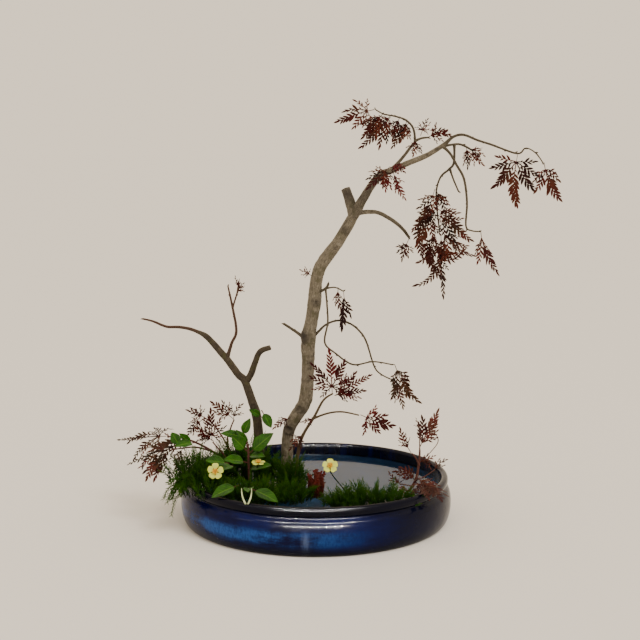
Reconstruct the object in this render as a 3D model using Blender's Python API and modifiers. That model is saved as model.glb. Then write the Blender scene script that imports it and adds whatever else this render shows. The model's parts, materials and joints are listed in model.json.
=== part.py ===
"""Ikebana arrangement: a maple branch, side branch and green planting held by pin holders
in a wide glazed bowl of water.

Units are metres and +Z is up.  The origin is the centre of the bowl's flat underside, the
viewing side is -Y, and the long limb of the maple reaches towards +X.
"""

import math

import bmesh
import bpy
from mathutils import Matrix, Vector

# Driving dimensions of the bowl and what stands in it
BOWL_HEIGHT = 0.064
RIM_RADIUS = 0.182
BELLY_RADIUS = 0.1865
FOOT_RADIUS = 0.176
INNER_RADIUS = 0.172
FLOOR_THICKNESS = 0.008
BOWL_STEPS = 60
WATER_LEVEL = 0.049
GAP = 0.0003

KENZAN_PITCH = 0.010
KENZAN_BASE = 0.010
PIN_HEIGHT = 0.014
PIN_RADIUS = 0.0009
PIN_CLEARANCE = 0.0030
LARGE_KENZAN = (-0.060, 0.008, 0.045)
SMALL_KENZAN = (0.085, -0.075, 0.030)
KENZAN_TOP = FLOOR_THICKNESS + GAP + KENZAN_BASE
STEM_FOOT = KENZAN_TOP + 0.0030

LEAF_THICKNESS = 0.0009
STALK_WIDTH = 0.0014
STALK_LENGTH = 0.007
STALK_CLEARANCE = 0.0018
MOSS_FLOOR = WATER_LEVEL + 0.0005
STEM_CLEARANCE = 0.0006

# Colour, roughness and metallic value of every material
MATERIALS = {
    "blue_glaze": ((0.012, 0.025, 0.180), 0.12, 0.0),
    "water": ((0.300, 0.340, 0.350), 0.05, 0.0),
    "lead": ((0.220, 0.220, 0.230), 0.45, 1.0),
    "grey_bark": ((0.270, 0.220, 0.150), 0.85, 0.0),
    "brown_bark": ((0.130, 0.085, 0.050), 0.80, 0.0),
    "maple_leaf": ((0.110, 0.012, 0.015), 0.60, 0.0),
    "bronze_leaf": ((0.130, 0.050, 0.025), 0.60, 0.0),
    "red_stem": ((0.120, 0.030, 0.020), 0.60, 0.0),
    "green_stem": ((0.080, 0.090, 0.030), 0.60, 0.0),
    "green_leaf": ((0.060, 0.200, 0.025), 0.45, 0.0),
    "moss": ((0.030, 0.110, 0.012), 0.80, 0.0),
    "tuft": ((0.160, 0.045, 0.022), 0.80, 0.0),
    "grass": ((0.550, 0.650, 0.350), 0.60, 0.0),
    "petal": ((0.900, 0.820, 0.350), 0.50, 0.0),
}

# Stems: every point is (x, y, z, radius)
MAIN_TRUNK = [
    (-0.046, 0.026, STEM_FOOT, 0.0078), (-0.041, 0.029, 0.071, 0.0081),
    (-0.039, 0.028, 0.112, 0.0081), (-0.029, 0.026, 0.136, 0.0087), (-0.015, 0.024, 0.161, 0.0094),
    (-0.011, 0.020, 0.211, 0.0087), (-0.010, 0.018, 0.250, 0.0100), (-0.006, 0.016, 0.274, 0.0086),
    (-0.002, 0.014, 0.302, 0.0091), (0.001, 0.012, 0.331, 0.0085), (0.009, 0.010, 0.354, 0.0085),
    (0.031, 0.006, 0.384, 0.0078), (0.055, 0.000, 0.426, 0.0067), (0.072, -0.006, 0.456, 0.0055),
    (0.087, -0.012, 0.474, 0.0047), (0.100, -0.016, 0.479, 0.0041),
]
MAIN_LIMBS = {
    "cut_stub": [(0.051, 0.002, 0.419, 0.0068), (0.045, 0.008, 0.440, 0.0064), (0.040, 0.012, 0.454, 0.0062)],
    "outer_limb": [(0.096, -0.015, 0.477, 0.0042), (0.119, -0.024, 0.488, 0.0038),
                   (0.145, -0.034, 0.499, 0.0034), (0.167, -0.042, 0.513, 0.0028)],
    "upper_twig": [(0.098, -0.016, 0.478, 0.0024), (0.114, -0.006, 0.494, 0.0021),
                   (0.127, 0.004, 0.510, 0.0019), (0.134, 0.010, 0.519, 0.0018),
                   (0.142, 0.012, 0.522, 0.0015), (0.151, 0.012, 0.523, 0.0013)],
    "crown_twig": [(0.133, 0.009, 0.517, 0.0017), (0.131, 0.012, 0.535, 0.0015),
                   (0.121, 0.010, 0.546, 0.0014), (0.106, 0.003, 0.551, 0.0012),
                   (0.090, -0.003, 0.554, 0.0010), (0.079, -0.004, 0.560, 0.0009)],
    "far_arc": [(0.164, -0.041, 0.511, 0.0026), (0.178, -0.050, 0.523, 0.0019),
                (0.191, -0.055, 0.526, 0.0017), (0.209, -0.062, 0.519, 0.0015),
                (0.227, -0.068, 0.513, 0.0014), (0.258, -0.078, 0.502, 0.0012)],
    "far_stalk": [(0.256, -0.078, 0.502, 0.0011), (0.268, -0.082, 0.509, 0.0009),
                  (0.280, -0.086, 0.503, 0.0009), (0.289, -0.088, 0.491, 0.0009)],
    "middle_arc": [(0.165, -0.041, 0.511, 0.0018), (0.176, -0.036, 0.513, 0.0016),
                   (0.189, -0.028, 0.514, 0.0015), (0.200, -0.022, 0.510, 0.0014),
                   (0.207, -0.018, 0.506, 0.0012)],
    "long_hanger": [(0.165, -0.042, 0.512, 0.0019), (0.175, -0.047, 0.502, 0.0017),
                    (0.184, -0.051, 0.486, 0.0016), (0.193, -0.054, 0.469, 0.0016),
                    (0.197, -0.057, 0.439, 0.0014), (0.196, -0.058, 0.408, 0.0012),
                    (0.204, -0.058, 0.402, 0.0010), (0.213, -0.058, 0.401, 0.0009)],
    "inner_hanger": [(0.182, -0.032, 0.514, 0.0016), (0.182, -0.030, 0.490, 0.0016),
                     (0.176, -0.026, 0.481, 0.0015), (0.166, -0.018, 0.471, 0.0013),
                     (0.161, -0.012, 0.452, 0.0012), (0.163, -0.006, 0.425, 0.0011),
                     (0.167, -0.002, 0.398, 0.0010)],
    "inner_spur": [(0.177, -0.027, 0.482, 0.0014), (0.182, -0.022, 0.469, 0.0012),
                   (0.190, -0.016, 0.452, 0.0011)],
    "lower_arm": [(0.053, 0.001, 0.422, 0.0034), (0.080, 0.010, 0.423, 0.0028),
                  (0.100, 0.018, 0.414, 0.0026), (0.117, 0.022, 0.401, 0.0023),
                  (0.128, 0.024, 0.387, 0.0019)],
    "left_spur": [(-0.012, 0.018, 0.246, 0.0024), (-0.028, 0.024, 0.257, 0.0020),
                  (-0.045, 0.032, 0.267, 0.0017)],
    "right_spur": [(-0.004, 0.014, 0.309, 0.0021), (0.013, 0.006, 0.319, 0.0018),
                   (0.017, 0.004, 0.326, 0.0016)],
    "leaf_stalk": [(0.013, 0.006, 0.319, 0.0012), (0.026, 0.002, 0.321, 0.0010),
                   (0.037, 0.000, 0.316, 0.0009)],
    "long_loop": [(0.013, 0.006, 0.320, 0.0014), (0.015, -0.001, 0.298, 0.0013),
                  (0.016, -0.008, 0.274, 0.0013), (0.012, -0.012, 0.247, 0.0013),
                  (0.027, -0.018, 0.233, 0.0012), (0.050, -0.024, 0.219, 0.0012),
                  (0.077, -0.030, 0.224, 0.0010), (0.102, -0.036, 0.221, 0.0009)],
    "arched_loop": [(-0.008, 0.017, 0.246, 0.0021), (0.002, 0.014, 0.257, 0.0018),
                    (0.014, 0.010, 0.269, 0.0015), (0.030, 0.006, 0.275, 0.0014),
                    (0.045, 0.002, 0.272, 0.0014), (0.057, -0.002, 0.264, 0.0013),
                    (0.068, -0.006, 0.249, 0.0013), (0.079, -0.010, 0.215, 0.0011),
                    (0.088, -0.012, 0.204, 0.0010), (0.102, -0.014, 0.197, 0.0009)],
}

SIDE_TRUNK = [
    (-0.078, 0.034, STEM_FOOT, 0.0066), (-0.080, 0.039, 0.080, 0.0070), (-0.083, 0.042, 0.128, 0.0067),
    (-0.092, 0.044, 0.160, 0.0058), (-0.101, 0.046, 0.184, 0.0055), (-0.110, 0.048, 0.193, 0.0052),
    (-0.125, 0.052, 0.213, 0.0049), (-0.137, 0.055, 0.226, 0.0047), (-0.154, 0.060, 0.244, 0.0042),
]
SIDE_LIMBS = {
    "cut_stub": [(-0.100, 0.046, 0.182, 0.0049), (-0.092, 0.044, 0.193, 0.0045),
                 (-0.085, 0.040, 0.212, 0.0042), (-0.078, 0.038, 0.227, 0.0039),
                 (-0.064, 0.036, 0.233, 0.0035)],
    "thin_arm": [(-0.146, 0.058, 0.236, 0.0034), (-0.168, 0.064, 0.251, 0.0026),
                 (-0.180, 0.066, 0.255, 0.0023), (-0.196, 0.070, 0.257, 0.0021),
                 (-0.213, 0.074, 0.257, 0.0019), (-0.233, 0.079, 0.264, 0.0016),
                 (-0.248, 0.083, 0.267, 0.0013)],
    "upright": [(-0.126, 0.052, 0.214, 0.0026), (-0.119, 0.050, 0.236, 0.0021),
                (-0.112, 0.050, 0.255, 0.0019), (-0.118, 0.048, 0.293, 0.0016),
                (-0.123, 0.046, 0.318, 0.0012)],
    "bud_twig": [(-0.117, 0.048, 0.287, 0.0013), (-0.111, 0.051, 0.306, 0.0012),
                 (-0.109, 0.054, 0.314, 0.0019), (-0.108, 0.055, 0.321, 0.0010)],
}

CENTRE_STEM = [
    (-0.027, -0.004, STEM_FOOT, 0.0020), (-0.027, -0.010, 0.070, 0.0022), (-0.023, -0.013, 0.103, 0.0022),
    (-0.016, -0.015, 0.123, 0.0020), (-0.003, -0.020, 0.145, 0.0018), (0.010, -0.025, 0.170, 0.0015),
    (0.023, -0.028, 0.180, 0.0012),
]
CENTRE_LIMBS = {
    "side_twig": [(-0.005, -0.019, 0.143, 0.0015), (0.015, -0.026, 0.152, 0.0013),
                  (0.035, -0.034, 0.156, 0.0012), (0.058, -0.042, 0.153, 0.0010)],
}

LEFT_STEM = [
    (-0.094, 0.010, STEM_FOOT, 0.0019), (-0.112, 0.014, 0.060, 0.0019), (-0.138, 0.018, 0.084, 0.0017),
    (-0.165, 0.022, 0.099, 0.0015), (-0.188, 0.026, 0.106, 0.0013), (-0.209, 0.028, 0.108, 0.0010),
]
LEFT_LIMBS = {
    "low_twig": [(-0.146, 0.019, 0.089, 0.0013), (-0.166, 0.000, 0.099, 0.0012),
                 (-0.182, -0.018, 0.102, 0.0010), (-0.197, -0.028, 0.102, 0.0009)],
    "star_twig": [(-0.112, 0.014, 0.060, 0.0014), (-0.126, 0.006, 0.084, 0.0012),
                  (-0.143, 0.002, 0.106, 0.0010)],
    "high_twig": [(-0.113, 0.014, 0.062, 0.0014), (-0.124, 0.022, 0.100, 0.0012),
                  (-0.119, 0.020, 0.122, 0.0011), (-0.114, 0.018, 0.134, 0.0009)],
    "back_twig": [(-0.123, 0.022, 0.095, 0.0011), (-0.142, 0.030, 0.122, 0.0010),
                  (-0.156, 0.034, 0.133, 0.0009)],
}

RIGHT_STEM = [
    (0.098, -0.066, STEM_FOOT, 0.0018), (0.118, -0.063, 0.045, 0.0018), (0.133, -0.061, 0.068, 0.0018),
    (0.138, -0.058, 0.092, 0.0016), (0.139, -0.056, 0.108, 0.0013),
]
RIGHT_LIMBS = {
    "left_twig": [(0.138, -0.059, 0.088, 0.0012), (0.134, -0.062, 0.098, 0.0011),
                  (0.128, -0.064, 0.106, 0.0009)],
    "low_twig": [(0.132, -0.061, 0.066, 0.0012), (0.137, -0.074, 0.074, 0.0010),
                 (0.138, -0.084, 0.073, 0.0009)],
}

SHOOT_STEM = [
    (-0.080, -0.018, STEM_FOOT, 0.0018), (-0.087, -0.036, 0.048, 0.0018), (-0.090, -0.044, 0.066, 0.0017),
    (-0.091, -0.042, 0.090, 0.0015), (-0.092, -0.040, 0.110, 0.0013), (-0.100, -0.036, 0.126, 0.0010),
]

# Maple leaves: stalk base, tip of the middle lobe, direction the blade faces,
# half the fan of lobes in degrees, number of lobes
MAPLE_LEAVES = {
    "crown_leaf_1": ((0.077, -0.004, 0.560), (0.027, -0.008, 0.549), (0.1, -1.0, 0.5), 100, 7),
    "crown_leaf_2": ((0.100, 0.001, 0.549), (0.064, 0.014, 0.508), (0.2, -1.0, 0.4), 75, 7),
    "crown_leaf_3": ((0.124, 0.006, 0.542), (0.102, -0.016, 0.514), (-0.3, -1.0, 0.6), 65, 7),
    "crown_leaf_4": ((0.142, 0.014, 0.526), (0.150, 0.028, 0.549), (0.0, -1.0, 0.9), 95, 7),
    "trunk_leaf": ((0.096, -0.022, 0.483), (0.068, -0.042, 0.460), (-0.1, -1.0, 0.8), 100, 7),
    "far_leaf_1": ((0.258, -0.080, 0.500), (0.247, -0.088, 0.436), (-0.1, -1.0, 0.1), 105, 7),
    "far_leaf_2": ((0.290, -0.089, 0.490), (0.299, -0.094, 0.440), (0.5, -1.0, 0.1), 90, 7),
    "hanging_leaf": ((0.215, -0.058, 0.401), (0.224, -0.062, 0.343), (0.5, -1.0, 0.0), 30, 5),
    "cascade_leaf_1": ((0.159, -0.016, 0.454), (0.146, -0.028, 0.414), (-0.2, -1.0, 0.2), 85, 7),
    "cascade_leaf_2": ((0.161, -0.006, 0.423), (0.119, 0.002, 0.372), (-0.1, -1.0, 0.3), 60, 7),
    "cascade_leaf_3": ((0.165, -0.007, 0.420), (0.208, -0.022, 0.388), (0.3, -1.0, 0.2), 75, 7),
    "cascade_leaf_4": ((0.169, -0.004, 0.400), (0.202, -0.018, 0.352), (0.5, -1.0, 0.1), 50, 7),
    "cascade_leaf_5": ((0.163, 0.003, 0.397), (0.140, 0.016, 0.326), (-0.4, -1.0, 0.0), 45, 7),
    "cascade_leaf_6": ((0.169, -0.006, 0.394), (0.173, -0.020, 0.307), (0.1, -1.0, 0.0), 28, 5),
    "arm_leaf": ((0.128, 0.026, 0.385), (0.117, 0.034, 0.358), (-0.1, -1.0, 0.1), 70, 7),
    "folded_leaf": ((0.038, 0.000, 0.315), (0.042, -0.004, 0.268), (-0.5, -1.0, 0.0), 35, 5),
    "centre_leaf_1": ((0.022, -0.029, 0.182), (0.019, -0.046, 0.238), (-0.05, -1.0, -0.2), 135, 9),
    "centre_leaf_2": ((0.027, -0.036, 0.179), (0.073, -0.062, 0.212), (0.1, -1.0, 0.1), 60, 7),
    "centre_leaf_3": ((0.060, -0.043, 0.153), (0.099, -0.060, 0.140), (0.0, -1.0, 0.3), 95, 7),
    "loop_leaf_1": ((0.105, -0.037, 0.221), (0.128, -0.044, 0.165), (-0.2, -1.0, 0.1), 60, 7),
    "loop_leaf_2": ((0.104, -0.014, 0.196), (0.122, -0.012, 0.160), (0.3, -1.0, 0.3), 60, 7),
    "left_leaf_1": ((-0.211, 0.028, 0.108), (-0.286, 0.040, 0.104), (0.1, -0.6, 1.0), 95, 9),
    "left_leaf_2": ((-0.200, -0.028, 0.104), (-0.258, -0.048, 0.096), (0.1, -0.7, 0.9), 90, 9),
    "star_leaf": ((-0.144, 0.002, 0.108), (-0.143, -0.008, 0.151), (-0.1, -1.0, 0.0), 125, 9),
    "high_leaf": ((-0.115, 0.018, 0.136), (-0.143, 0.010, 0.160), (0.0, -1.0, 0.2), 70, 7),
    "back_leaf": ((-0.158, 0.034, 0.133), (-0.185, 0.036, 0.111), (0.0, -1.0, 0.2), 70, 7),
    "right_leaf_1": ((0.139, -0.056, 0.110), (0.160, -0.054, 0.160), (-0.1, -1.0, 0.1), 50, 7),
    "right_leaf_2": ((0.127, -0.065, 0.108), (0.108, -0.070, 0.138), (0.1, -1.0, 0.1), 40, 5),
    "right_leaf_3": ((0.138, -0.086, 0.073), (0.160, -0.140, 0.066), (0.3, -0.4, 1.0), 75, 7),
}
BRONZE_LEAVES = ("left_leaf_1", "left_leaf_2", "loop_leaf_1", "loop_leaf_2", "cascade_leaf_3",
                 "right_leaf_1", "right_leaf_2", "right_leaf_3")

# Broad green leaves: base, tip, direction the blade faces, width
BROAD_LEAVES = {
    "broad_leaf_1": ((-0.0880, -0.0430, 0.103), (-0.0580, -0.0520, 0.131), (-0.4, -1.0, 0.5), 0.0180),
    "broad_leaf_2": ((-0.0940, -0.0440, 0.106), (-0.1120, -0.0540, 0.127), (0.4, -1.0, 0.4), 0.0170),
    "broad_leaf_3": ((-0.0940, -0.0460, 0.090), (-0.1220, -0.0600, 0.100), (0.2, -0.6, 1.0), 0.0160),
    "broad_leaf_4": ((-0.0760, 0.0300, 0.143), (-0.0620, 0.0220, 0.122), (0.3, -1.0, 0.5), 0.0110),
    "broad_leaf_5": ((-0.1890, 0.0020, 0.099), (-0.2000, 0.0060, 0.119), (0.2, -1.0, 0.2), 0.0120),
    "broad_leaf_6": ((-0.1660, -0.0160, 0.109), (-0.1910, -0.0300, 0.110), (0.0, -0.6, 1.0), 0.0140),
    "broad_leaf_7": ((-0.1180, -0.0660, 0.092), (-0.1440, -0.0840, 0.102), (0.3, -0.6, 1.0), 0.0160),
    "broad_leaf_8": ((-0.1020, -0.1180, 0.076), (-0.1340, -0.1340, 0.068), (0.1, -0.5, 1.0), 0.0170),
    "broad_leaf_9": ((-0.0800, -0.1300, 0.075), (-0.0480, -0.1540, 0.068), (0.0, -0.5, 1.0), 0.0150),
}

# Flowers: centre, direction they face, diameter, and the stem's route up from the pin holder
FLOWERS = {
    "flower_1": ((-0.132, -0.090, 0.088), (0.00, -1.0, 0.35), 0.0225,
                 [(-0.088, -0.014, STEM_FOOT, 0.0009), (-0.107, -0.050, 0.055, 0.0009),
                  (-0.124, -0.074, 0.080, 0.0008), (-0.131, -0.085, 0.086, 0.0008)]),
    "flower_2": ((0.019, -0.055, 0.086), (0.00, -0.75, 0.65), 0.0220,
                 [(0.064, -0.066, STEM_FOOT, 0.0009), (0.046, -0.058, 0.045, 0.0009),
                  (0.024, -0.050, 0.070, 0.0008), (0.0185, -0.0515, 0.081, 0.0008)]),
    "flower_3": ((-0.077, -0.057, 0.091), (0.00, -0.25, 1.0), 0.0190,
                 [(-0.068, -0.026, STEM_FOOT, 0.0009), (-0.074, -0.046, 0.055, 0.0009),
                  (-0.079, -0.054, 0.076, 0.0008), (-0.0785, -0.0565, 0.086, 0.0008)]),
}

# Clubmoss clumps: centre in plan, radii in plan, underside and top
MOSS_CLUMPS = {
    "moss_left": ((-0.162, -0.036), (0.046, 0.052), BOWL_HEIGHT + 0.0008, 0.098),
    "moss_back": ((-0.078, 0.045), (0.074, 0.054), MOSS_FLOOR, 0.098),
    "moss_front": ((-0.074, -0.084), (0.054, 0.050), MOSS_FLOOR, 0.084),
    "moss_right": ((0.062, -0.105), (0.064, 0.040), MOSS_FLOOR, 0.074),
}
MOSS_TRAIL = [(-0.156, -0.066, 0.076, 0.0070), (-0.172, -0.082, 0.0745, 0.0070),
              (-0.184, -0.093, 0.066, 0.0065), (-0.189, -0.098, 0.050, 0.0050)]
TUFT_CENTRE = (0.001, -0.071)
TUFT_RADIUS = 0.011
TUFT_TOP = 0.087
GRASS_BLADES = [(-0.093, -0.160, 0.083, 0.0004), (-0.0885, -0.158, 0.0685, 0.0009),
                (-0.0860, -0.158, 0.0675, 0.0009), (-0.081, -0.161, 0.084, 0.0004)]


def clear_scene():
    """Remove whatever the file holds, so that only the arrangement is built."""
    for scene_object in list(bpy.data.objects):
        bpy.data.objects.remove(scene_object, do_unlink=True)


def make_collection(name):
    collection = bpy.data.collections.new(name)
    bpy.context.scene.collection.children.link(collection)
    return collection


def make_material(name):
    """A Principled material from the table of colours."""
    colour, roughness, metallic = MATERIALS[name]
    material = bpy.data.materials.new(name)
    material.use_nodes = True
    shader = material.node_tree.nodes["Principled BSDF"]
    shader.inputs["Base Color"].default_value = (*colour, 1.0)
    shader.inputs["Roughness"].default_value = roughness
    shader.inputs["Metallic"].default_value = metallic
    return material


def finish(part, collection, material_name):
    """Give a part its material and its collection."""
    part.data.materials.clear()
    part.data.materials.append(bpy.data.materials[material_name])
    for old in list(part.users_collection):
        old.objects.unlink(part)
    collection.objects.link(part)
    return part


def hide_cutter(cutter, cutters):
    """A cutter is drawn as wire and never rendered."""
    cutter.hide_render = True
    cutter.display_type = "WIRE"
    for old in list(cutter.users_collection):
        old.objects.unlink(cutter)
    cutters.objects.link(cutter)


def curve_to_mesh(curve_object):
    """Turn a curve into a mesh object with welded caps."""
    bpy.context.view_layer.update()
    evaluated = curve_object.evaluated_get(bpy.context.evaluated_depsgraph_get())
    mesh = bpy.data.meshes.new_from_object(evaluated)
    shape = bmesh.new()
    shape.from_mesh(mesh)
    bmesh.ops.remove_doubles(shape, verts=shape.verts, dist=0.00001)
    bmesh.ops.recalc_face_normals(shape, faces=shape.faces)
    shape.to_mesh(mesh)
    shape.free()
    name = curve_object.name
    matrix = curve_object.matrix_world.copy()
    bpy.data.objects.remove(curve_object, do_unlink=True)
    part = bpy.data.objects.new(name, mesh)
    part.matrix_world = matrix
    bpy.context.scene.collection.objects.link(part)
    return part


def smooth_route(points, steps):
    """A Catmull-Rom curve through the points, with the given steps between each pair."""
    ends = [points[0]] + list(points) + [points[-1]]
    route = []
    for before, start, end, after in zip(ends, ends[1:], ends[2:], ends[3:]):
        for step in range(steps):
            t = step / steps
            route.append(tuple(
                0.5 * (2 * b + (c - a) * t + (2 * a - 5 * b + 4 * c - d) * t ** 2
                       + (3 * b - a - 3 * c + d) * t ** 3)
                for a, b, c, d in zip(before, start, end, after)))
    route.append(tuple(points[-1]))
    return route


def tube(name, points, resolution=1, steps=2, extra=0.0):
    """A tapering round stem along the points; extra fattens it into a clearance cutter."""
    curve = bpy.data.curves.new(name, "CURVE")
    curve.dimensions = "3D"
    curve.bevel_depth = 1.0
    curve.bevel_resolution = resolution
    curve.use_fill_caps = True
    route = smooth_route(points, steps)
    spline = curve.splines.new("POLY")
    spline.points.add(len(route) - 1)
    for point, (x, y, z, radius) in zip(spline.points, route):
        point.co = (x, y, z, 1.0)
        point.radius = radius + extra
    stem = bpy.data.objects.new(name, curve)
    bpy.context.scene.collection.objects.link(stem)
    return curve_to_mesh(stem)


def add_boolean(part, cutter, operation):
    modifier = part.modifiers.new(f"{operation.lower()}_{cutter.name}", "BOOLEAN")
    modifier.operation = operation
    modifier.solver = "EXACT"
    modifier.object = cutter


def make_branch(name, trunk, limbs, resolution, parts, cutters, material_name):
    """A trunk with its limbs joined on as one solid."""
    branch = tube(name, trunk, resolution)
    for limb_name, points in limbs.items():
        limb_resolution = 2 if points[0][3] > 0.003 else 1
        limb = tube(f"{name}_{limb_name}", points, limb_resolution)
        hide_cutter(limb, cutters)
        add_boolean(branch, limb, "UNION")
    return finish(branch, parts, material_name)


def flat_blade(name, outline):
    """A thin closed plate from an outline in the XY plane."""
    curve = bpy.data.curves.new(name, "CURVE")
    curve.dimensions = "2D"
    curve.fill_mode = "BOTH"
    curve.extrude = LEAF_THICKNESS / 2
    spline = curve.splines.new("POLY")
    spline.points.add(len(outline) - 1)
    for point, (x, y) in zip(spline.points, outline):
        point.co = (x, y, 0.0, 1.0)
    spline.use_cyclic_u = True
    blade = bpy.data.objects.new(name, curve)
    bpy.context.scene.collection.objects.link(blade)
    return curve_to_mesh(blade)


def blade_matrix(base, tip, facing):
    """The frame with X from base to tip and Z on the side the blade faces."""
    along = (Vector(tip) - Vector(base)).normalized()
    face = Vector(facing)
    face = (face - along * face.dot(along)).normalized()
    across = face.cross(along)
    matrix = Matrix((along, across, face)).transposed().to_4x4()
    matrix.translation = Vector(base)
    return matrix


def palmate_outline(length, half_fan, lobes):
    """A stalk and a fan of pointed lobes, longest in the middle."""
    half_stalk = STALK_WIDTH / 2
    hub = STALK_CLEARANCE + STALK_LENGTH
    reach = length - hub
    step = 2 * half_fan / (lobes - 1)
    outline = [(STALK_CLEARANCE, -half_stalk), (hub, -half_stalk)]
    for lobe in range(lobes):
        angle = -half_fan + step * lobe
        lobe_reach = reach * (1.0 - 0.58 * (abs(angle) / half_fan) ** 0.6)
        if lobe:
            notch = angle - step / 2
            outline.append((hub + 0.26 * reach * math.cos(notch), 0.26 * reach * math.sin(notch)))
        outline.append((hub + lobe_reach * math.cos(angle), lobe_reach * math.sin(angle)))
    outline += [(hub, half_stalk), (STALK_CLEARANCE, half_stalk)]
    return outline


def pointed_outline(length, width, steps=7):
    """A stalk and an oval blade that comes to a point."""
    half_stalk = STALK_WIDTH / 2
    start = 0.004
    side = []
    for step in range(1, steps):
        t = step / steps
        side.append((start + (length - start) * t, half_stalk + width / 2 * math.sin(math.pi * t ** 0.8)))
    lower = [(x, -y) for x, y in side]
    return ([(0.0, -half_stalk), (start, -half_stalk)] + lower + [(length, 0.0)]
            + side[::-1] + [(start, half_stalk), (0.0, half_stalk)])


def flower_outline(diameter, petals=5, steps=6):
    """Rounded petals joined at the middle."""
    outline = []
    for step in range(petals * steps):
        angle = 2 * math.pi * step / (petals * steps)
        wave = abs(math.cos(petals * angle / 2)) ** 0.6
        radius = diameter / 2 * (0.55 + 0.45 * wave)
        outline.append((radius * math.cos(angle), radius * math.sin(angle)))
    return outline


def make_bowl(parts):
    """The glazed bowl: a turned wall with a collar below the lip and a rounded belly."""
    rim_middle = (RIM_RADIUS + INNER_RADIUS) / 2
    profile = [
        (0.0, FLOOR_THICKNESS), (INNER_RADIUS - 0.022, FLOOR_THICKNESS),
        (INNER_RADIUS - 0.008, 0.0105), (INNER_RADIUS - 0.0015, 0.018), (INNER_RADIUS + 0.0005, 0.030),
        (INNER_RADIUS, 0.052), (INNER_RADIUS + 0.0005, 0.0605), (INNER_RADIUS + 0.0025, 0.0632),
        (rim_middle, BOWL_HEIGHT), (RIM_RADIUS - 0.0022, 0.0632), (RIM_RADIUS - 0.0002, 0.0605),
        (RIM_RADIUS, 0.0570), (RIM_RADIUS - 0.0010, 0.0532), (RIM_RADIUS - 0.0038, 0.0506),
        (RIM_RADIUS - 0.0022, 0.0482), (BELLY_RADIUS - 0.0030, 0.0446), (BELLY_RADIUS - 0.0008, 0.0375),
        (BELLY_RADIUS, 0.0280), (BELLY_RADIUS - 0.0006, 0.0190), (BELLY_RADIUS - 0.0022, 0.0110),
        (BELLY_RADIUS - 0.0048, 0.0045), (FOOT_RADIUS + 0.0030, 0.0012), (FOOT_RADIUS, 0.0),
        (0.0, 0.0),
    ]
    return turned("bowl", profile, BOWL_STEPS, parts, "blue_glaze")


def turned(name, profile, steps, parts, material_name):
    """A solid of revolution about Z from (radius, height) pairs."""
    mesh = bpy.data.meshes.new(name)
    shape = bmesh.new()
    ring = [shape.verts.new((radius, 0.0, height)) for radius, height in profile]
    for start, end in zip(ring, ring[1:]):
        shape.edges.new((start, end))
    shape.to_mesh(mesh)
    shape.free()
    part = bpy.data.objects.new(name, mesh)
    bpy.context.scene.collection.objects.link(part)
    screw = part.modifiers.new("turn", "SCREW")
    screw.axis = "Z"
    screw.angle = 2 * math.pi
    screw.steps = steps
    screw.render_steps = steps
    screw.use_merge_vertices = True
    screw.merge_threshold = 0.00001
    screw.use_smooth_shade = True
    return finish(part, parts, material_name)


def cylinder(name, x, y, radius, bottom, top, segments):
    """A plain upright cylinder between two heights."""
    mesh = bpy.data.meshes.new(name)
    shape = bmesh.new()
    bmesh.ops.create_cone(shape, cap_ends=True, segments=segments, radius1=radius, radius2=radius,
                          depth=top - bottom)
    shape.to_mesh(mesh)
    shape.free()
    part = bpy.data.objects.new(name, mesh)
    part.location = (x, y, (top + bottom) / 2)
    bpy.context.scene.collection.objects.link(part)
    return part


def make_kenzan(name, place, stems, parts, cutters):
    """A pin holder: a heavy round base with rows of pins, left out where a stem stands."""
    x, y, radius = place
    bottom = FLOOR_THICKNESS + GAP
    base = cylinder(name, x, y, radius, bottom, KENZAN_TOP, 32)
    mesh = bpy.data.meshes.new(f"{name}_pins")
    shape = bmesh.new()
    rows = int(radius / KENZAN_PITCH) + 1
    sink = 0.002
    low_points = [point for points, resolution in stems.values() for point in smooth_route(points, 6)
                  if point[2] < KENZAN_TOP + PIN_HEIGHT + 0.006]
    for row in range(-rows, rows + 1):
        for column in range(-rows, rows + 1):
            pin_x = (column + 0.5 * (row % 2)) * KENZAN_PITCH
            pin_y = row * KENZAN_PITCH * math.sqrt(3) / 2
            if math.hypot(pin_x, pin_y) > radius - 0.004:
                continue
            if any(math.hypot(x + pin_x - sx, y + pin_y - sy) < sr + PIN_CLEARANCE
                   for sx, sy, sz, sr in low_points):
                continue
            depth = PIN_HEIGHT + sink
            place_pin = Matrix.Translation((pin_x, pin_y, KENZAN_BASE / 2 - sink + depth / 2))
            bmesh.ops.create_cone(shape, cap_ends=True, segments=4, radius1=PIN_RADIUS,
                                  radius2=0.0002, depth=depth, matrix=place_pin)
    shape.to_mesh(mesh)
    shape.free()
    pins = bpy.data.objects.new(f"{name}_pins", mesh)
    pins.location = base.location
    bpy.context.scene.collection.objects.link(pins)
    hide_cutter(pins, cutters)
    add_boolean(base, pins, "UNION")
    return finish(base, parts, "lead")


def make_water(stem_routes, parts, cutters):
    """Still water, open around the pin holders and every stem that stands in it."""
    wall = INNER_RADIUS - 0.0008
    profile = [
        (0.0, WATER_LEVEL), (wall, WATER_LEVEL), (wall, 0.030), (wall - 0.0025, 0.0185),
        (wall - 0.0095, 0.0115), (wall - 0.022, FLOOR_THICKNESS + 2 * GAP), (0.0, FLOOR_THICKNESS + 2 * GAP),
    ]
    water = turned("water", profile, BOWL_STEPS, parts, "water")
    for name, (x, y, radius) in (("large", LARGE_KENZAN), ("small", SMALL_KENZAN)):
        well = cylinder(f"water_well_{name}", x, y, radius + 0.001, 0.0, KENZAN_TOP + PIN_HEIGHT + 0.001, 32)
        hide_cutter(well, cutters)
        add_boolean(water, well, "DIFFERENCE")
    for name, (points, resolution) in stem_routes.items():
        hole = tube(f"water_hole_{name}", points, resolution, 2, STEM_CLEARANCE)
        hide_cutter(hole, cutters)
        add_boolean(water, hole, "DIFFERENCE")
    return water


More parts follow.
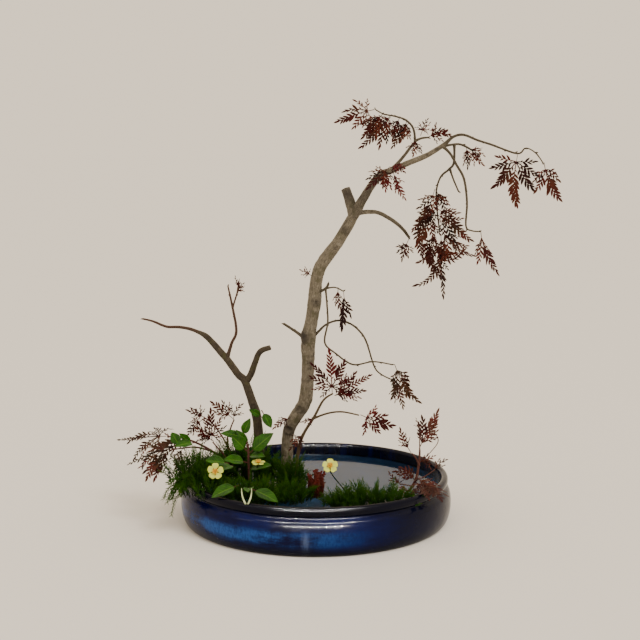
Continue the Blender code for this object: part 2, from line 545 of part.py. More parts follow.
def make_dome(name, centre, radii, bottom, top, material_name, parts, segments=20, rings=12):
    """A rounded clump with a flat underside."""
    mesh = bpy.data.meshes.new(name)
    shape = bmesh.new()
    bmesh.ops.create_uvsphere(shape, u_segments=segments, v_segments=rings, radius=1.0)
    below = [face for face in shape.faces if face.calc_center_median().z < -0.001]
    bmesh.ops.delete(shape, geom=below, context="FACES")
    rim = [edge for edge in shape.edges if edge.is_boundary]
    bmesh.ops.contextual_create(shape, geom=rim)
    bmesh.ops.recalc_face_normals(shape, faces=shape.faces)
    bmesh.ops.scale(shape, vec=(radii[0], radii[1], top - bottom), verts=shape.verts)
    shape.to_mesh(mesh)
    shape.free()
    dome = bpy.data.objects.new(name, mesh)
    dome.location = (*centre, bottom)
    bpy.context.scene.collection.objects.link(dome)
    return finish(dome, parts, material_name)


def make_moss(stem_routes, parts, cutters):
    """Clubmoss clumps, holed where stems pass through them."""
    for name, (centre, radii, bottom, top) in MOSS_CLUMPS.items():
        clump = make_dome(name, centre, radii, bottom, top, "moss", parts)
        for stem_name, (points, resolution) in stem_routes.items():
            near = any(abs(x - centre[0]) < radii[0] and abs(y - centre[1]) < radii[1]
                       and bottom - 0.02 < z < top + 0.02 for x, y, z, radius in smooth_route(points, 4))
            if near:
                hole = tube(f"{name}_hole_{stem_name}", points, resolution, 2, STEM_CLEARANCE)
                hide_cutter(hole, cutters)
                add_boolean(clump, hole, "DIFFERENCE")
        if name == "moss_left":
            trail = tube("moss_left_trail", MOSS_TRAIL, 2, 2)
            hide_cutter(trail, cutters)
            add_boolean(clump, trail, "UNION")


def make_leaves(parts):
    """Maple leaves and broad leaves, each a thin blade with its stalk."""
    for name, (base, tip, facing, half_fan, lobes) in MAPLE_LEAVES.items():
        length = (Vector(tip) - Vector(base)).length
        leaf = flat_blade(name, palmate_outline(length, math.radians(half_fan), lobes))
        leaf.matrix_world = blade_matrix(base, tip, facing)
        finish(leaf, parts, "bronze_leaf" if name in BRONZE_LEAVES else "maple_leaf")
    for name, (base, tip, facing, width) in BROAD_LEAVES.items():
        length = (Vector(tip) - Vector(base)).length
        leaf = flat_blade(name, pointed_outline(length, width))
        leaf.matrix_world = blade_matrix(base, tip, facing)
        finish(leaf, parts, "green_leaf")


def make_flowers(parts):
    """Five-petalled flowers on thin stems."""
    for name, (centre, facing, diameter, route) in FLOWERS.items():
        petals = flat_blade(f"{name}_petals", flower_outline(diameter))
        towards = Vector(centre) + Vector((1.0, 0.0, 0.0))
        petals.matrix_world = blade_matrix(centre, towards, facing)
        finish(petals, parts, "petal")
        finish(tube(f"{name}_stem", route, 1), parts, "green_stem")


def main():
    clear_scene()
    parts = make_collection("ikebana_arrangement")
    cutters = make_collection("cutters")
    for name in MATERIALS:
        make_material(name)
    stem_routes = {
        "main": (MAIN_TRUNK, 3), "side": (SIDE_TRUNK, 2), "centre": (CENTRE_STEM, 1),
        "left": (LEFT_STEM, 1), "star": (LEFT_LIMBS["star_twig"], 1), "high": (LEFT_LIMBS["high_twig"], 1),
        "low": (LEFT_LIMBS["low_twig"], 1), "right": (RIGHT_STEM, 1), "shoot": (SHOOT_STEM, 1),
    }
    for name, flower in FLOWERS.items():
        stem_routes[name] = (flower[3], 1)

    make_bowl(parts)
    make_kenzan("large_kenzan", LARGE_KENZAN, stem_routes, parts, cutters)
    make_kenzan("small_kenzan", SMALL_KENZAN, stem_routes, parts, cutters)
    make_water(stem_routes, parts, cutters)
    make_branch("main_branch", MAIN_TRUNK, MAIN_LIMBS, 3, parts, cutters, "grey_bark")
    make_branch("side_branch", SIDE_TRUNK, SIDE_LIMBS, 2, parts, cutters, "brown_bark")
    make_branch("centre_sprig", CENTRE_STEM, CENTRE_LIMBS, 1, parts, cutters, "green_stem")
    make_branch("left_sprig", LEFT_STEM, LEFT_LIMBS, 1, parts, cutters, "green_stem")
    make_branch("right_sprig", RIGHT_STEM, RIGHT_LIMBS, 1, parts, cutters, "red_stem")
    make_branch("leafy_shoot", SHOOT_STEM, {}, 1, parts, cutters, "red_stem")
    make_moss(stem_routes, parts, cutters)
    make_leaves(parts)
    make_flowers(parts)
    make_dome("red_tuft", TUFT_CENTRE, (TUFT_RADIUS, TUFT_RADIUS), MOSS_FLOOR, TUFT_TOP, "tuft", parts, 12, 8)
    finish(tube("grass", GRASS_BLADES, 0), parts, "grass")


main()
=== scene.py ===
# The looks of an ikebana arrangement: a maple branch, a side branch, clubmoss and flowers in a
# glazed bowl of water.  Metres, +Z up, the bowl stands on z = 0 and is seen from -Y.
import json
import math
import random

import bmesh
import bpy
import numpy as np
from mathutils import Matrix, Vector

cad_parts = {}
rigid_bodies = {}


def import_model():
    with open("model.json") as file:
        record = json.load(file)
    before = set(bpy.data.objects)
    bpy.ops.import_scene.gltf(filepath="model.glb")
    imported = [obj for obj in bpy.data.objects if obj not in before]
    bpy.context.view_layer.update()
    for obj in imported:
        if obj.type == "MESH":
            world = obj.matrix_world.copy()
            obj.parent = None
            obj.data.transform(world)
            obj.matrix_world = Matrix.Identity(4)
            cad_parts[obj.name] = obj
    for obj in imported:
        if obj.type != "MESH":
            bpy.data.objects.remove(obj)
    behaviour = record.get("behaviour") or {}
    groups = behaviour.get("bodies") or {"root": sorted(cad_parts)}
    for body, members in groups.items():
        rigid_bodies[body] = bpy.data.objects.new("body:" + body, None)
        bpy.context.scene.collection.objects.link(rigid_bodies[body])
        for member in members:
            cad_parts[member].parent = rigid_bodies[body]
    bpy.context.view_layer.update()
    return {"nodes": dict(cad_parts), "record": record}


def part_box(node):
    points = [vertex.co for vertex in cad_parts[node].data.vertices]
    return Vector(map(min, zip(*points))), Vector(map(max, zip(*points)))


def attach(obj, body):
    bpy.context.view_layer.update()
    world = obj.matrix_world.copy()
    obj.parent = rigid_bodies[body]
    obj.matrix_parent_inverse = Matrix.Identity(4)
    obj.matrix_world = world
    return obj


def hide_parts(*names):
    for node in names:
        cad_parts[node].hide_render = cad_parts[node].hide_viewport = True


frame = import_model()
scene = bpy.context.scene


# camera, lights and floor
camera = {"place": (0.0055, -1.73, 0.511), "tiltDown": math.atan(173.5 / 1280.0), "lens": 72.0}
floorLook = {"radius": 60.0, "sides": 96, "roughness": 0.75, "colour": (0.728, 0.704, 0.662, 1.0)}
roomLight = {"colour": (1.0, 0.838, 0.64, 1.0), "strength": 1.3}
sunLight = {"from": (1.4, -2.0, 2.6), "strength": 2.05, "softness": 26.0, "colour": (1.0, 0.945, 0.885)}
softBoxes = {  # place, where it points, size, power, colour
    "keyBox": ((1.15, -1.3, 1.7), (0.0, 0.0, 0.1), 0.55, 4.0, (1.0, 0.98, 0.95)),
    "sideBox": ((-1.6, -0.9, 0.9), (0.0, 0.0, 0.1), 0.45, 2.0, (0.95, 0.97, 1.0)),
}
lampTubes = {"frontTube": ((0.0, -1.0, 1.45), 1.7, 0.4), "topTube": ((0.0, -0.3, 1.7), 1.3, 0.6)}
ceilingLamps = {"count": 8, "pitch": 0.24, "x": -0.05, "rows": ((-1.05, 1.45), (-2.1, 0.62)),
                "size": 0.03, "power": 50.0}
lampLook = {"tubeWidth": 0.018, "tubeColour": (1.0, 0.98, 0.95), "colour": (1.0, 0.97, 0.93), "aim": 0.3}
glazed = bpy.data.collections.new("glazed")  # what the lamps and tubes are mirrored in


def addCamera():
    data = bpy.data.cameras.new("camera")
    data.lens = camera["lens"]
    data.sensor_width = 36.0
    holder = bpy.data.objects.new("camera", data)
    holder.location = camera["place"]
    holder.rotation_euler = (math.pi / 2 - camera["tiltDown"], 0.0, 0.0)
    scene.collection.objects.link(holder)
    scene.camera = holder


def addSoftBox(name, place, target, size, power, colour, shineOn=None):
    data = bpy.data.lights.new(name, "AREA")
    data.shape = "SQUARE"
    data.size = size
    data.energy = power
    data.color = colour
    holder = bpy.data.objects.new(name, data)
    holder.location = place
    holder.rotation_euler = (Vector(target) - Vector(place)).to_track_quat("-Z", "Y").to_euler()
    holder.visible_camera = False
    if shineOn:
        holder.visible_diffuse = False
        holder.light_linking.receiver_collection = shineOn
    scene.collection.objects.link(holder)


def addRoom():
    addCamera()
    for name, (place, target, size, power, colour) in softBoxes.items():
        addSoftBox(name, place, target, size, power, colour)
    sun = bpy.data.lights.new("sun", "SUN")
    sun.energy, sun.color = sunLight["strength"], sunLight["colour"]
    sun.angle = math.radians(sunLight["softness"])
    holder = bpy.data.objects.new("sun", sun)
    holder.rotation_euler = Vector(sunLight["from"]).to_track_quat("Z", "Y").to_euler()
    holder.visible_glossy = False
    scene.collection.objects.link(holder)
    for name, (place, length, power) in lampTubes.items():
        addSoftBox(name, place, (0.0, 0.0, 0.0), length, power, lampLook["tubeColour"], glazed)
        tube = bpy.data.lights[name]
        tube.shape, tube.size_y = "RECTANGLE", lampLook["tubeWidth"]
    for row, (y, z) in enumerate(ceilingLamps["rows"]):
        for lamp in range(ceilingLamps["count"]):
            x = ceilingLamps["x"] + (lamp - (ceilingLamps["count"] - 1) / 2) * ceilingLamps["pitch"]
            addSoftBox(f"ceilingLamp{row + 1}_{lamp + 1}", (x, y, z), (x * lampLook["aim"], 0.0, 0.0),
                       ceilingLamps["size"], ceilingLamps["power"], lampLook["colour"], glazed)
    world = bpy.data.worlds.new("room")
    world.use_nodes = True
    background = world.node_tree.nodes["Background"]
    background.inputs["Color"].default_value = roomLight["colour"]
    background.inputs["Strength"].default_value = roomLight["strength"]
    scene.world = world
    mesh = bpy.data.meshes.new("floor")
    shape = bmesh.new()
    bmesh.ops.create_circle(shape, cap_ends=True, segments=floorLook["sides"], radius=floorLook["radius"])
    shape.to_mesh(mesh)
    shape.free()
    floor = bpy.data.objects.new("floor", mesh)
    scene.collection.objects.link(floor)
    material, _, shader = startMaterial("floorPaint", floorLook["roughness"])
    shader.inputs["Base Color"].default_value = floorLook["colour"]
    shader.inputs["Specular IOR Level"].default_value = 0.0
    mesh.materials.append(material)


# shared node helpers
def addNode(tree, kind, inputs=None, **settings):
    node = tree.nodes.new(kind)
    for name, value in settings.items():
        setattr(node, name, value)
    for key, value in (inputs or {}).items():
        if isinstance(value, bpy.types.NodeSocket):
            tree.links.new(value, node.inputs[key])
        else:
            node.inputs[key].default_value = value
    return node


def startMaterial(name, roughness):
    material = bpy.data.materials.new(name)
    material.use_nodes = True
    tree = material.node_tree
    shader = tree.nodes["Principled BSDF"]
    shader.inputs["Roughness"].default_value = roughness
    return material, tree, shader


def maths(tree, operation, first, second=0.0):
    return addNode(tree, "ShaderNodeMath", {0: first, 1: second}, operation=operation).outputs[0]


def times(tree, first, second):
    return maths(tree, "MULTIPLY", first, second)


def plus(tree, first, second):
    return maths(tree, "ADD", first, second)


def mixColour(tree, share, first, second):
    return addNode(tree, "ShaderNodeMix", {0: share, 6: first, 7: second}, data_type="RGBA").outputs[2]


def remap(tree, value, low, high, toLow=0.0, toHigh=1.0):
    inputs = {0: value, 1: low, 2: high, 3: toLow, 4: toHigh}
    return addNode(tree, "ShaderNodeMapRange", inputs, interpolation_type="SMOOTHSTEP").outputs[0]


def noise(tree, place, scale, detail=3.0, roughness=0.55):
    inputs = {"Vector": place, "Scale": scale, "Detail": detail, "Roughness": roughness}
    return addNode(tree, "ShaderNodeTexNoise", inputs).outputs[0]


def stretched(tree, place, scale):
    return addNode(tree, "ShaderNodeVectorMath", {0: place, 1: scale}, operation="MULTIPLY").outputs[0]


def objectPlace(tree):
    return addNode(tree, "ShaderNodeTexCoord").outputs["Object"]


def attribute(tree, name, output="Fac"):
    return addNode(tree, "ShaderNodeAttribute", attribute_name=name).outputs[output]


def relief(tree, shader, height, distance, strength=1.0):
    inputs = {"Height": height, "Distance": distance, "Strength": strength}
    tree.links.new(addNode(tree, "ShaderNodeBump", inputs).outputs[0], shader.inputs["Normal"])


def colourFrom(tree, shader, socket):
    tree.links.new(socket, shader.inputs["Base Color"])


def letThrough(shader, weight, radius):
    # light passes a little way into thin green tissue and petals
    shader.inputs["Subsurface Weight"].default_value = weight
    shader.inputs["Subsurface Radius"].default_value = radius
    shader.inputs["Subsurface Scale"].default_value = 1.0


# materials
glazeLook = {
    "navy": (0.0006, 0.001, 0.006, 1.0), "cobalt": (0.0004, 0.0012, 0.024, 1.0),
    # pale is the colour of the painted highlight on the left of the belly
    "bright": (0.0008, 0.0048, 0.065, 1.0), "pale": (0.012, 0.062, 0.24, 1.0),
    "lipBrown": (0.004, 0.0032, 0.004, 1.0), "drip": (0.16, 0.22, 0.38, 1.0),
    "pool": (0.016, 0.046, 0.1, 1.0),
}
glazeShine = {"Coat Weight": 0.17, "Coat Roughness": 0.02, "Coat IOR": 1.36, "Specular IOR Level": 0.05}
barkLook = {
    "greyBark": {"light": (0.16, 0.138, 0.099, 1.0), "dark": (0.034, 0.026, 0.016, 1.0),
                 "patch": (0.06, 0.054, 0.026, 1.0), "twig": (0.036, 0.026, 0.012, 1.0),
                 "pale": (0.23, 0.205, 0.16, 1.0)},
    "brownBark": {"light": (0.046, 0.034, 0.019, 1.0), "dark": (0.013, 0.009, 0.006, 1.0),
                  "patch": (0.04, 0.036, 0.011, 1.0), "twig": (0.048, 0.017, 0.008, 1.0),
                  "pale": (0.068, 0.054, 0.034, 1.0)},
    "youngGreen": {"light": (0.07, 0.054, 0.022, 1.0), "dark": (0.034, 0.02, 0.01, 1.0),
                   "patch": (0.046, 0.046, 0.015, 1.0), "twig": (0.06, 0.038, 0.017, 1.0),
                   "pale": (0.085, 0.07, 0.035, 1.0)},
    "youngRed": {"light": (0.07, 0.02, 0.014, 1.0), "dark": (0.032, 0.008, 0.007, 1.0),
                 "patch": (0.052, 0.032, 0.016, 1.0), "twig": (0.062, 0.017, 0.012, 1.0),
                 "pale": (0.09, 0.035, 0.024, 1.0)},
}
knotColour = (0.016, 0.011, 0.007, 1.0)
leafLook = {
    "mapleRed": {"deep": (0.009, 0.0012, 0.0013, 1.0), "bright": (0.064, 0.005, 0.004, 1.0),
                 "worn": (0.062, 0.021, 0.007, 1.0), "wornShare": 0.45},
    "crimson": {"deep": (0.018, 0.001, 0.002, 1.0), "bright": (0.085, 0.005, 0.007, 1.0),
                "worn": (0.06, 0.014, 0.006, 1.0), "wornShare": 0.25},
    "mapleBronze": {"deep": (0.009, 0.003, 0.0022, 1.0), "bright": (0.075, 0.012, 0.0095, 1.0),
                    "worn": (0.021, 0.021, 0.006, 1.0), "wornShare": 0.6},
    "sprigRed": {"deep": (0.02, 0.0042, 0.0045, 1.0), "bright": (0.085, 0.016, 0.013, 1.0),
                 "worn": (0.06, 0.03, 0.016, 1.0), "wornShare": 0.5},
}
waterLook = {"colour": (0.7, 0.86, 0.95, 1.0), "roughness": 0.015, "ior": 1.155}
petalLook = {"body": (0.56, 0.64, 0.1, 1.0), "heart": (0.42, 0.3, 0.002, 1.0),
             "stripe": (0.64, 0.7, 0.18, 1.0)}
tuftLook = {"deep": (0.022, 0.009, 0.004, 1.0), "fresh": (0.06, 0.012, 0.008, 1.0),
            "tip": (0.11, 0.018, 0.012, 1.0)}
speckledLook = {  # two colours, scale of the specks, roughness, metallic
    "gold": ("goldenStamens", (0.62, 0.28, 0.012, 1.0), (0.85, 0.5, 0.04, 1.0), 600.0, 0.5, 0.0),
    "grass": ("paleGrass", (0.42, 0.55, 0.24, 1.0), (0.66, 0.74, 0.46, 1.0), 300.0, 0.5, 0.0),
    "lead": ("dullLead", (0.1, 0.1, 0.11, 1.0), (0.2, 0.2, 0.21, 1.0), 120.0, 0.45, 1.0),
    "brass": ("brassPins", (0.45, 0.32, 0.12, 1.0), (0.62, 0.47, 0.2, 1.0), 500.0, 0.35, 1.0),
    "endWood": ("cutWood", (0.03, 0.02, 0.012, 1.0), (0.085, 0.06, 0.036, 1.0), 500.0, 0.8, 0.0),
}
mossLook = {"deep": (0.0018, 0.008, 0.0003, 1.0), "fresh": (0.015, 0.05, 0.001, 1.0),
            "tip": (0.06, 0.098, 0.008, 1.0)}
broadLook = {"deep": (0.0055, 0.032, 0.0006, 1.0), "fresh": (0.02, 0.086, 0.0014, 1.0),
             "vein": (0.085, 0.19, 0.014, 1.0)}


def makeGlaze():
    material, tree, shader = startMaterial("blueGlaze", 0.22)
    place = objectPlace(tree)
    axes = addNode(tree, "ShaderNodeSeparateXYZ", {0: place})
    height = axes.outputs["Z"]
    flat = addNode(tree, "ShaderNodeCombineXYZ", {"X": axes.outputs["X"], "Y": axes.outputs["Y"]})
    radius = addNode(tree, "ShaderNodeVectorMath", {0: flat.outputs[0]}, operation="LENGTH").outputs["Value"]
    runs = noise(tree, stretched(tree, place, (1.0, 1.0, 0.1)), 75.0, 5.0, 0.62)
    clouds = noise(tree, stretched(tree, place, (0.6, 0.6, 2.2)), 13.0, 6.0, 0.66)
    fleck = noise(tree, stretched(tree, place, (1.0, 1.0, 0.5)), 420.0, 2.0, 0.5)
    mottle = plus(tree, times(tree, runs, 0.14), times(tree, clouds, 0.86))
    body = mixColour(tree, remap(tree, mottle, 0.4, 0.62), glazeLook["cobalt"], glazeLook["bright"])
    paintedShade = remap(tree, axes.outputs["X"], 0.02, 0.13, 0.0, 0.85)  # painted shade: the right side of the belly is darkened towards navy
    body = mixColour(tree, paintedShade, body, glazeLook["navy"])
    # painted highlight: a pale band at mid-height on the left half of the belly, broken up by the mottle and
    # flecks
    waist = times(tree, remap(tree, height, 0.008, 0.02), remap(tree, height, 0.038, 0.028))
    reach = remap(tree, axes.outputs["X"], 0.085, -0.035, 0.0, 1.0)  # the painted highlight, a pale band, is on the left half
    leftHighlight = times(tree, times(tree, waist, reach), remap(tree, mottle, 0.4, 0.58))
    leftHighlight = times(tree, leftHighlight, remap(tree, fleck, 0.3, 0.65, 0.55, 1.0))
    body = mixColour(tree, leftHighlight, body, glazeLook["pale"])
    drip = remap(tree, maths(tree, "ABSOLUTE", plus(tree, axes.outputs["X"], 0.012)), 0.009, 0.002)
    drip = times(tree, drip, remap(tree, height, 0.04, 0.022))
    drip = times(tree, drip, remap(tree, axes.outputs["Y"], -0.12, -0.15, 0.0, 0.3))
    body = mixColour(tree, times(tree, drip, remap(tree, runs, 0.4, 0.6, 0.2, 1.0)), body,
                     glazeLook["drip"])
    # painted reflection: the glaze darkens to navy towards the foot, as if the lower belly mirrored a dark
    # surface below it
    body = mixColour(tree, remap(tree, height, 0.02, 0.002), body, glazeLook["navy"])
    collar = remap(tree, height, 0.0488, 0.052)
    body = mixColour(tree, collar, body, glazeLook["navy"])
    inside = remap(tree, radius, 0.1775, 0.1755)
    inner = mixColour(tree, times(tree, remap(tree, runs, 0.45, 0.75), 0.6),
                      glazeLook["navy"], glazeLook["bright"])
    inner = mixColour(tree, remap(tree, height, 0.047, 0.04), inner, glazeLook["pool"])
    body = mixColour(tree, inside, body, inner)
    lip = remap(tree, plus(tree, height, times(tree, clouds, 0.0012)), 0.0638, 0.065)
    body = mixColour(tree, lip, body, glazeLook["lipBrown"])
    foot = remap(tree, height, 0.0022, 0.0008)
    body = mixColour(tree, foot, body, glazeLook["lipBrown"])
    colourFrom(tree, shader, body)
    for label, value in glazeShine.items():
        shader.inputs[label].default_value = value
    peel = noise(tree, stretched(tree, place, (1.0, 1.0, 1.6)), 48.0, 2.0)
    relief(tree, shader, peel, 0.0026, 0.2)
    return material


def makeWater():
    material, tree, shader = startMaterial("stillWater", waterLook["roughness"])
    shader.inputs["Base Color"].default_value = waterLook["colour"]
    shader.inputs["IOR"].default_value = waterLook["ior"]
    shader.inputs["Transmission Weight"].default_value = 1.0
    ripple = noise(tree, objectPlace(tree), 22.0, 1.0)
    relief(tree, shader, ripple, 0.0005, 0.15)
    return material


def makeBark(name):
    look = barkLook[name]
    material, tree, shader = startMaterial(name, 0.82)
    place = attribute(tree, "barkPlace", "Vector")
    fibre = noise(tree, stretched(tree, place, (1.0, 1.0, 0.14)), 1100.0, 4.0, 0.6)
    bands = noise(tree, stretched(tree, place, (0.3, 0.3, 1.0)), 420.0, 3.0, 0.6)
    patches = noise(tree, place, 75.0, 4.0, 0.62)
    blotches = noise(tree, stretched(tree, place, (1.0, 1.0, 0.7)), 240.0, 3.0, 0.6)
    colour = mixColour(tree, remap(tree, fibre, 0.22, 0.66), look["dark"], look["light"])
    colour = mixColour(tree, remap(tree, blotches, 0.52, 0.68, 0.0, 0.6), colour, look["pale"])
    colour = mixColour(tree, remap(tree, bands, 0.58, 0.7, 0.0, 0.6), colour, look["dark"])
    colour = mixColour(tree, remap(tree, patches, 0.5, 0.66, 0.0, 0.8), colour, look["patch"])
    colour = mixColour(tree, remap(tree, patches, 0.44, 0.3, 0.0, 0.7), colour, look["dark"])
    thin = remap(tree, attribute(tree, "girth"), 0.0034, 0.0018, 0.0, 0.85)
    colour = mixColour(tree, thin, colour, look["twig"])
    colour = mixColour(tree, attribute(tree, "knot"), colour, knotColour)
    colourFrom(tree, shader, colour)
    height = plus(tree, fibre, times(tree, bands, 0.7))
    relief(tree, shader, height, 0.0009, 0.55)
    return material


def makeLeafMaterial(name):
    look = leafLook[name]
    material, tree, shader = startMaterial(name, 0.5)
    tone = attribute(tree, "tone")
    grain = noise(tree, objectPlace(tree), 160.0, 3.0)
    blotch = noise(tree, objectPlace(tree), 38.0, 3.0)
    mix = plus(tree, times(tree, tone, 0.6), times(tree, grain, 0.5))
    colour = mixColour(tree, remap(tree, mix, 0.25, 0.85), look["deep"], look["bright"])
    worn = remap(tree, plus(tree, blotch, times(tree, tone, 0.16)), 0.48, 0.7,
                 0.0, look["wornShare"])
    colourFrom(tree, shader, mixColour(tree, worn, colour, look["worn"]))
    shader.inputs["Specular IOR Level"].default_value = 0.12
    relief(tree, shader, grain, 0.0003, 0.4)
    return material


def makeMossMaterial(name, look):
    material, tree, shader = startMaterial(name, 0.58)
    tone = attribute(tree, "tone")
    grain = noise(tree, objectPlace(tree), 60.0, 3.0)
    speck = noise(tree, objectPlace(tree), 700.0, 2.0)
    mix = plus(tree, times(tree, tone, 0.75), times(tree, grain, 0.5))
    colour = mixColour(tree, remap(tree, mix, 0.3, 0.85), look["deep"], look["fresh"])
    ends = times(tree, remap(tree, tone, 0.72, 1.0), remap(tree, speck, 0.35, 0.65))
    colourFrom(tree, shader, mixColour(tree, ends, colour, look["tip"]))
    shader.inputs["Specular IOR Level"].default_value = 0.1
    letThrough(shader, 0.1, (0.0006, 0.0016, 0.0004))
    return material


def makeBroadMaterial():
    material, tree, shader = startMaterial("broadGreen", 0.38)
    uv = addNode(tree, "ShaderNodeUVMap", uv_map="blade").outputs[0]
    axes = addNode(tree, "ShaderNodeSeparateXYZ", {0: uv})
    along, across = axes.outputs["X"], maths(tree, "ABSOLUTE", axes.outputs["Y"])
    slant = maths(tree, "SUBTRACT", along, times(tree, across, 0.28))
    wave = maths(tree, "SINE", times(tree, slant, 2 * math.pi * 7.0))
    side = times(tree, remap(tree, wave, 0.93, 1.0), remap(tree, across, 1.0, 0.6, 0.0, 0.6))
    rib = remap(tree, across, 0.085, 0.03)
    edge = remap(tree, across, 0.9, 1.0, 0.0, 0.35)
    veins = maths(tree, "MAXIMUM", maths(tree, "MAXIMUM", side, rib), edge)
    grain = noise(tree, objectPlace(tree), 120.0, 4.0)
    broad = noise(tree, objectPlace(tree), 45.0, 2.0)
    mix = plus(tree, times(tree, grain, 0.5), times(tree, broad, 0.6))
    colour = mixColour(tree, remap(tree, mix, 0.38, 0.7), broadLook["deep"], broadLook["fresh"])
    colourFrom(tree, shader, mixColour(tree, times(tree, veins, 0.7), colour, broadLook["vein"]))
    shader.inputs["Specular IOR Level"].default_value = 0.2
    letThrough(shader, 0.15, (0.0008, 0.002, 0.0004))
    height = maths(tree, "SUBTRACT", times(tree, grain, 0.3), veins)
    relief(tree, shader, height, 0.0006, 0.5)
    return material


def makePetalMaterial():
    material, tree, shader = startMaterial("paleYellowPetal", 0.45)
    uv = addNode(tree, "ShaderNodeUVMap", uv_map="blade").outputs[0]
    axes = addNode(tree, "ShaderNodeSeparateXYZ", {0: uv})
    stripes = noise(tree, stretched(tree, uv, (2.0, 26.0, 1.0)), 1.0, 3.0)
    heart = remap(tree, axes.outputs["X"], 0.24, 0.03)
    colour = mixColour(tree, heart, petalLook["body"], petalLook["heart"])
    colour = mixColour(tree, remap(tree, stripes, 0.45, 0.7, 0.0, 0.35), colour, petalLook["stripe"])
    colourFrom(tree, shader, colour)
    letThrough(shader, 0.2, (0.002, 0.0018, 0.0008))
    relief(tree, shader, stripes, 0.0003, 0.5)
    return material


def makeSpeckled(name, first, second, scale, roughness, metallic):
    material, tree, shader = startMaterial(name, roughness)
    speck = noise(tree, objectPlace(tree), scale, 4.0)
    colourFrom(tree, shader, mixColour(tree, remap(tree, speck, 0.35, 0.65), first, second))
    shader.inputs["Metallic"].default_value = metallic
    relief(tree, shader, speck, 0.0004, 0.4)
    return material


# shared shape helpers
def smoothRoute(points, steps):
    ends = [points[0]] + list(points) + [points[-1]]  # a Catmull-Rom curve through the points
    route = []
    for before, start, end, after in zip(ends, ends[1:], ends[2:], ends[3:]):
        for step in range(steps):
            t = step / steps
            route.append(tuple(
                0.5 * (2 * b + (c - a) * t + (2 * a - 5 * b + 4 * c - d) * t ** 2
                       + (3 * b - a - 3 * c + d) * t ** 3)
                for a, b, c, d in zip(before, start, end, after)))
    route.append(tuple(points[-1]))
    return route


def linkObject(name, mesh):
    piece = bpy.data.objects.new(name, mesh)
    scene.collection.objects.link(piece)
    return piece


def settle(piece):
    # the piece's modifiers become part of its mesh
    bpy.context.view_layer.update()
    name = piece.name
    mesh = bpy.data.meshes.new_from_object(piece.evaluated_get(bpy.context.evaluated_depsgraph_get()))
    bpy.data.objects.remove(piece)
    mesh.name = name
    return linkObject(name, mesh)


def joined(name, pieces):
    # several meshes at the origin become one, with all their materials and attributes
    for other in scene.objects:
        other.select_set(False)
    for piece in pieces:
        piece.select_set(True)
    bpy.context.view_layer.objects.active = pieces[0]
    bpy.ops.object.join()
    pieces[0].name = name
    pieces[0].data.name = name
    return pieces[0]


def turned(name, profile, steps, material):
    # (radius, height) pairs spun about Z
    mesh = bpy.data.meshes.new(name)
    mesh.from_pydata([(radius, 0.0, height) for radius, height in profile],
                     [(k, k + 1) for k in range(len(profile) - 1)], [])
    piece = linkObject(name, mesh)
    screw = piece.modifiers.new("turn", "SCREW")
    screw.steps = steps
    screw.render_steps = steps
    screw.use_merge_vertices = True
    screw.merge_threshold = 0.00001
    screw.use_smooth_shade = True
    mesh.materials.append(material)
    piece = settle(piece)
    shape = bmesh.new()
    shape.from_mesh(piece.data)
    bmesh.ops.recalc_face_normals(shape, faces=shape.faces)
    shape.to_mesh(piece.data)
    shape.free()
    return piece


def finishPiece(piece, slot, *nodes):
    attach(piece, "root")
    if nodes:
        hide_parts(*nodes)
    return piece


def pieceName(node):
    first, *others = node.split("_")
    return first + "".join(word.capitalize() for word in others)


def pathObject(name, paths):
    # polylines whose points carry thick, spread, lean, tone and face for the growing trees
    points, edges = [], []
    columns = {"thick": [], "spread": [], "lean": [], "tone": []}
    faces = []
    for path in paths:
        start = len(points)
        count = len(path["points"])
        points += [tuple(point[:3]) for point in path["points"]]
        edges += [(start + k, start + k + 1) for k in range(count - 1)]
        for column, values in columns.items():
            given = path.get(column, 0.0)
            values += list(given) if isinstance(given, (list, tuple)) else [given] * count
        faces += [tuple(path.get("face", (0.0, -1.0, 0.0)))] * count
    mesh = bpy.data.meshes.new(name)
    mesh.from_pydata(points, edges, [])
    for column, values in columns.items():
        mesh.attributes.new(column, "FLOAT", "POINT").data.foreach_set("value", values)
    flat = [value for face in faces for value in face]
    mesh.attributes.new("face", "FLOAT_VECTOR", "POINT").data.foreach_set("vector", flat)
    return linkObject(name, mesh)


# geometry node trees
smallestLeaflet = 0.0004


def newTree(name, sockets):
    tree = bpy.data.node_groups.new(name, "GeometryNodeTree")
    tree.interface.new_socket("Geometry", in_out="INPUT", socket_type="NodeSocketGeometry")
    for label, kind in sockets.items():
        tree.interface.new_socket(label, in_out="INPUT", socket_type="NodeSocket" + kind)
    tree.interface.new_socket("Geometry", in_out="OUTPUT", socket_type="NodeSocketGeometry")
    return tree, tree.nodes.new("NodeGroupInput").outputs


def endTree(tree, geometry, material):
    real = addNode(tree, "GeometryNodeRealizeInstances", {"Geometry": geometry}).outputs[0]
    painted = addNode(tree, "GeometryNodeSetMaterial", {"Geometry": real, "Material": material}).outputs[0]
    end = tree.nodes.new("NodeGroupOutput")
    tree.links.new(painted, end.inputs[0])


def named(tree, name, kind="FLOAT"):
    return addNode(tree, "GeometryNodeInputNamedAttribute", {"Name": name}, data_type=kind).outputs[0]


def stored(tree, geometry, name, value, kind="FLOAT"):
    inputs = {"Geometry": geometry, "Name": name, "Value": value}
    return addNode(tree, "GeometryNodeStoreNamedAttribute", inputs, data_type=kind,
                   domain="POINT").outputs[0]


def evenCurve(tree, geometry, spacing):
    curve = addNode(tree, "GeometryNodeMeshToCurve", {0: geometry}).outputs[0]
    inputs = {"Curve": curve, "Length": spacing}
    return addNode(tree, "GeometryNodeResampleCurve", inputs, mode="LENGTH").outputs[0]


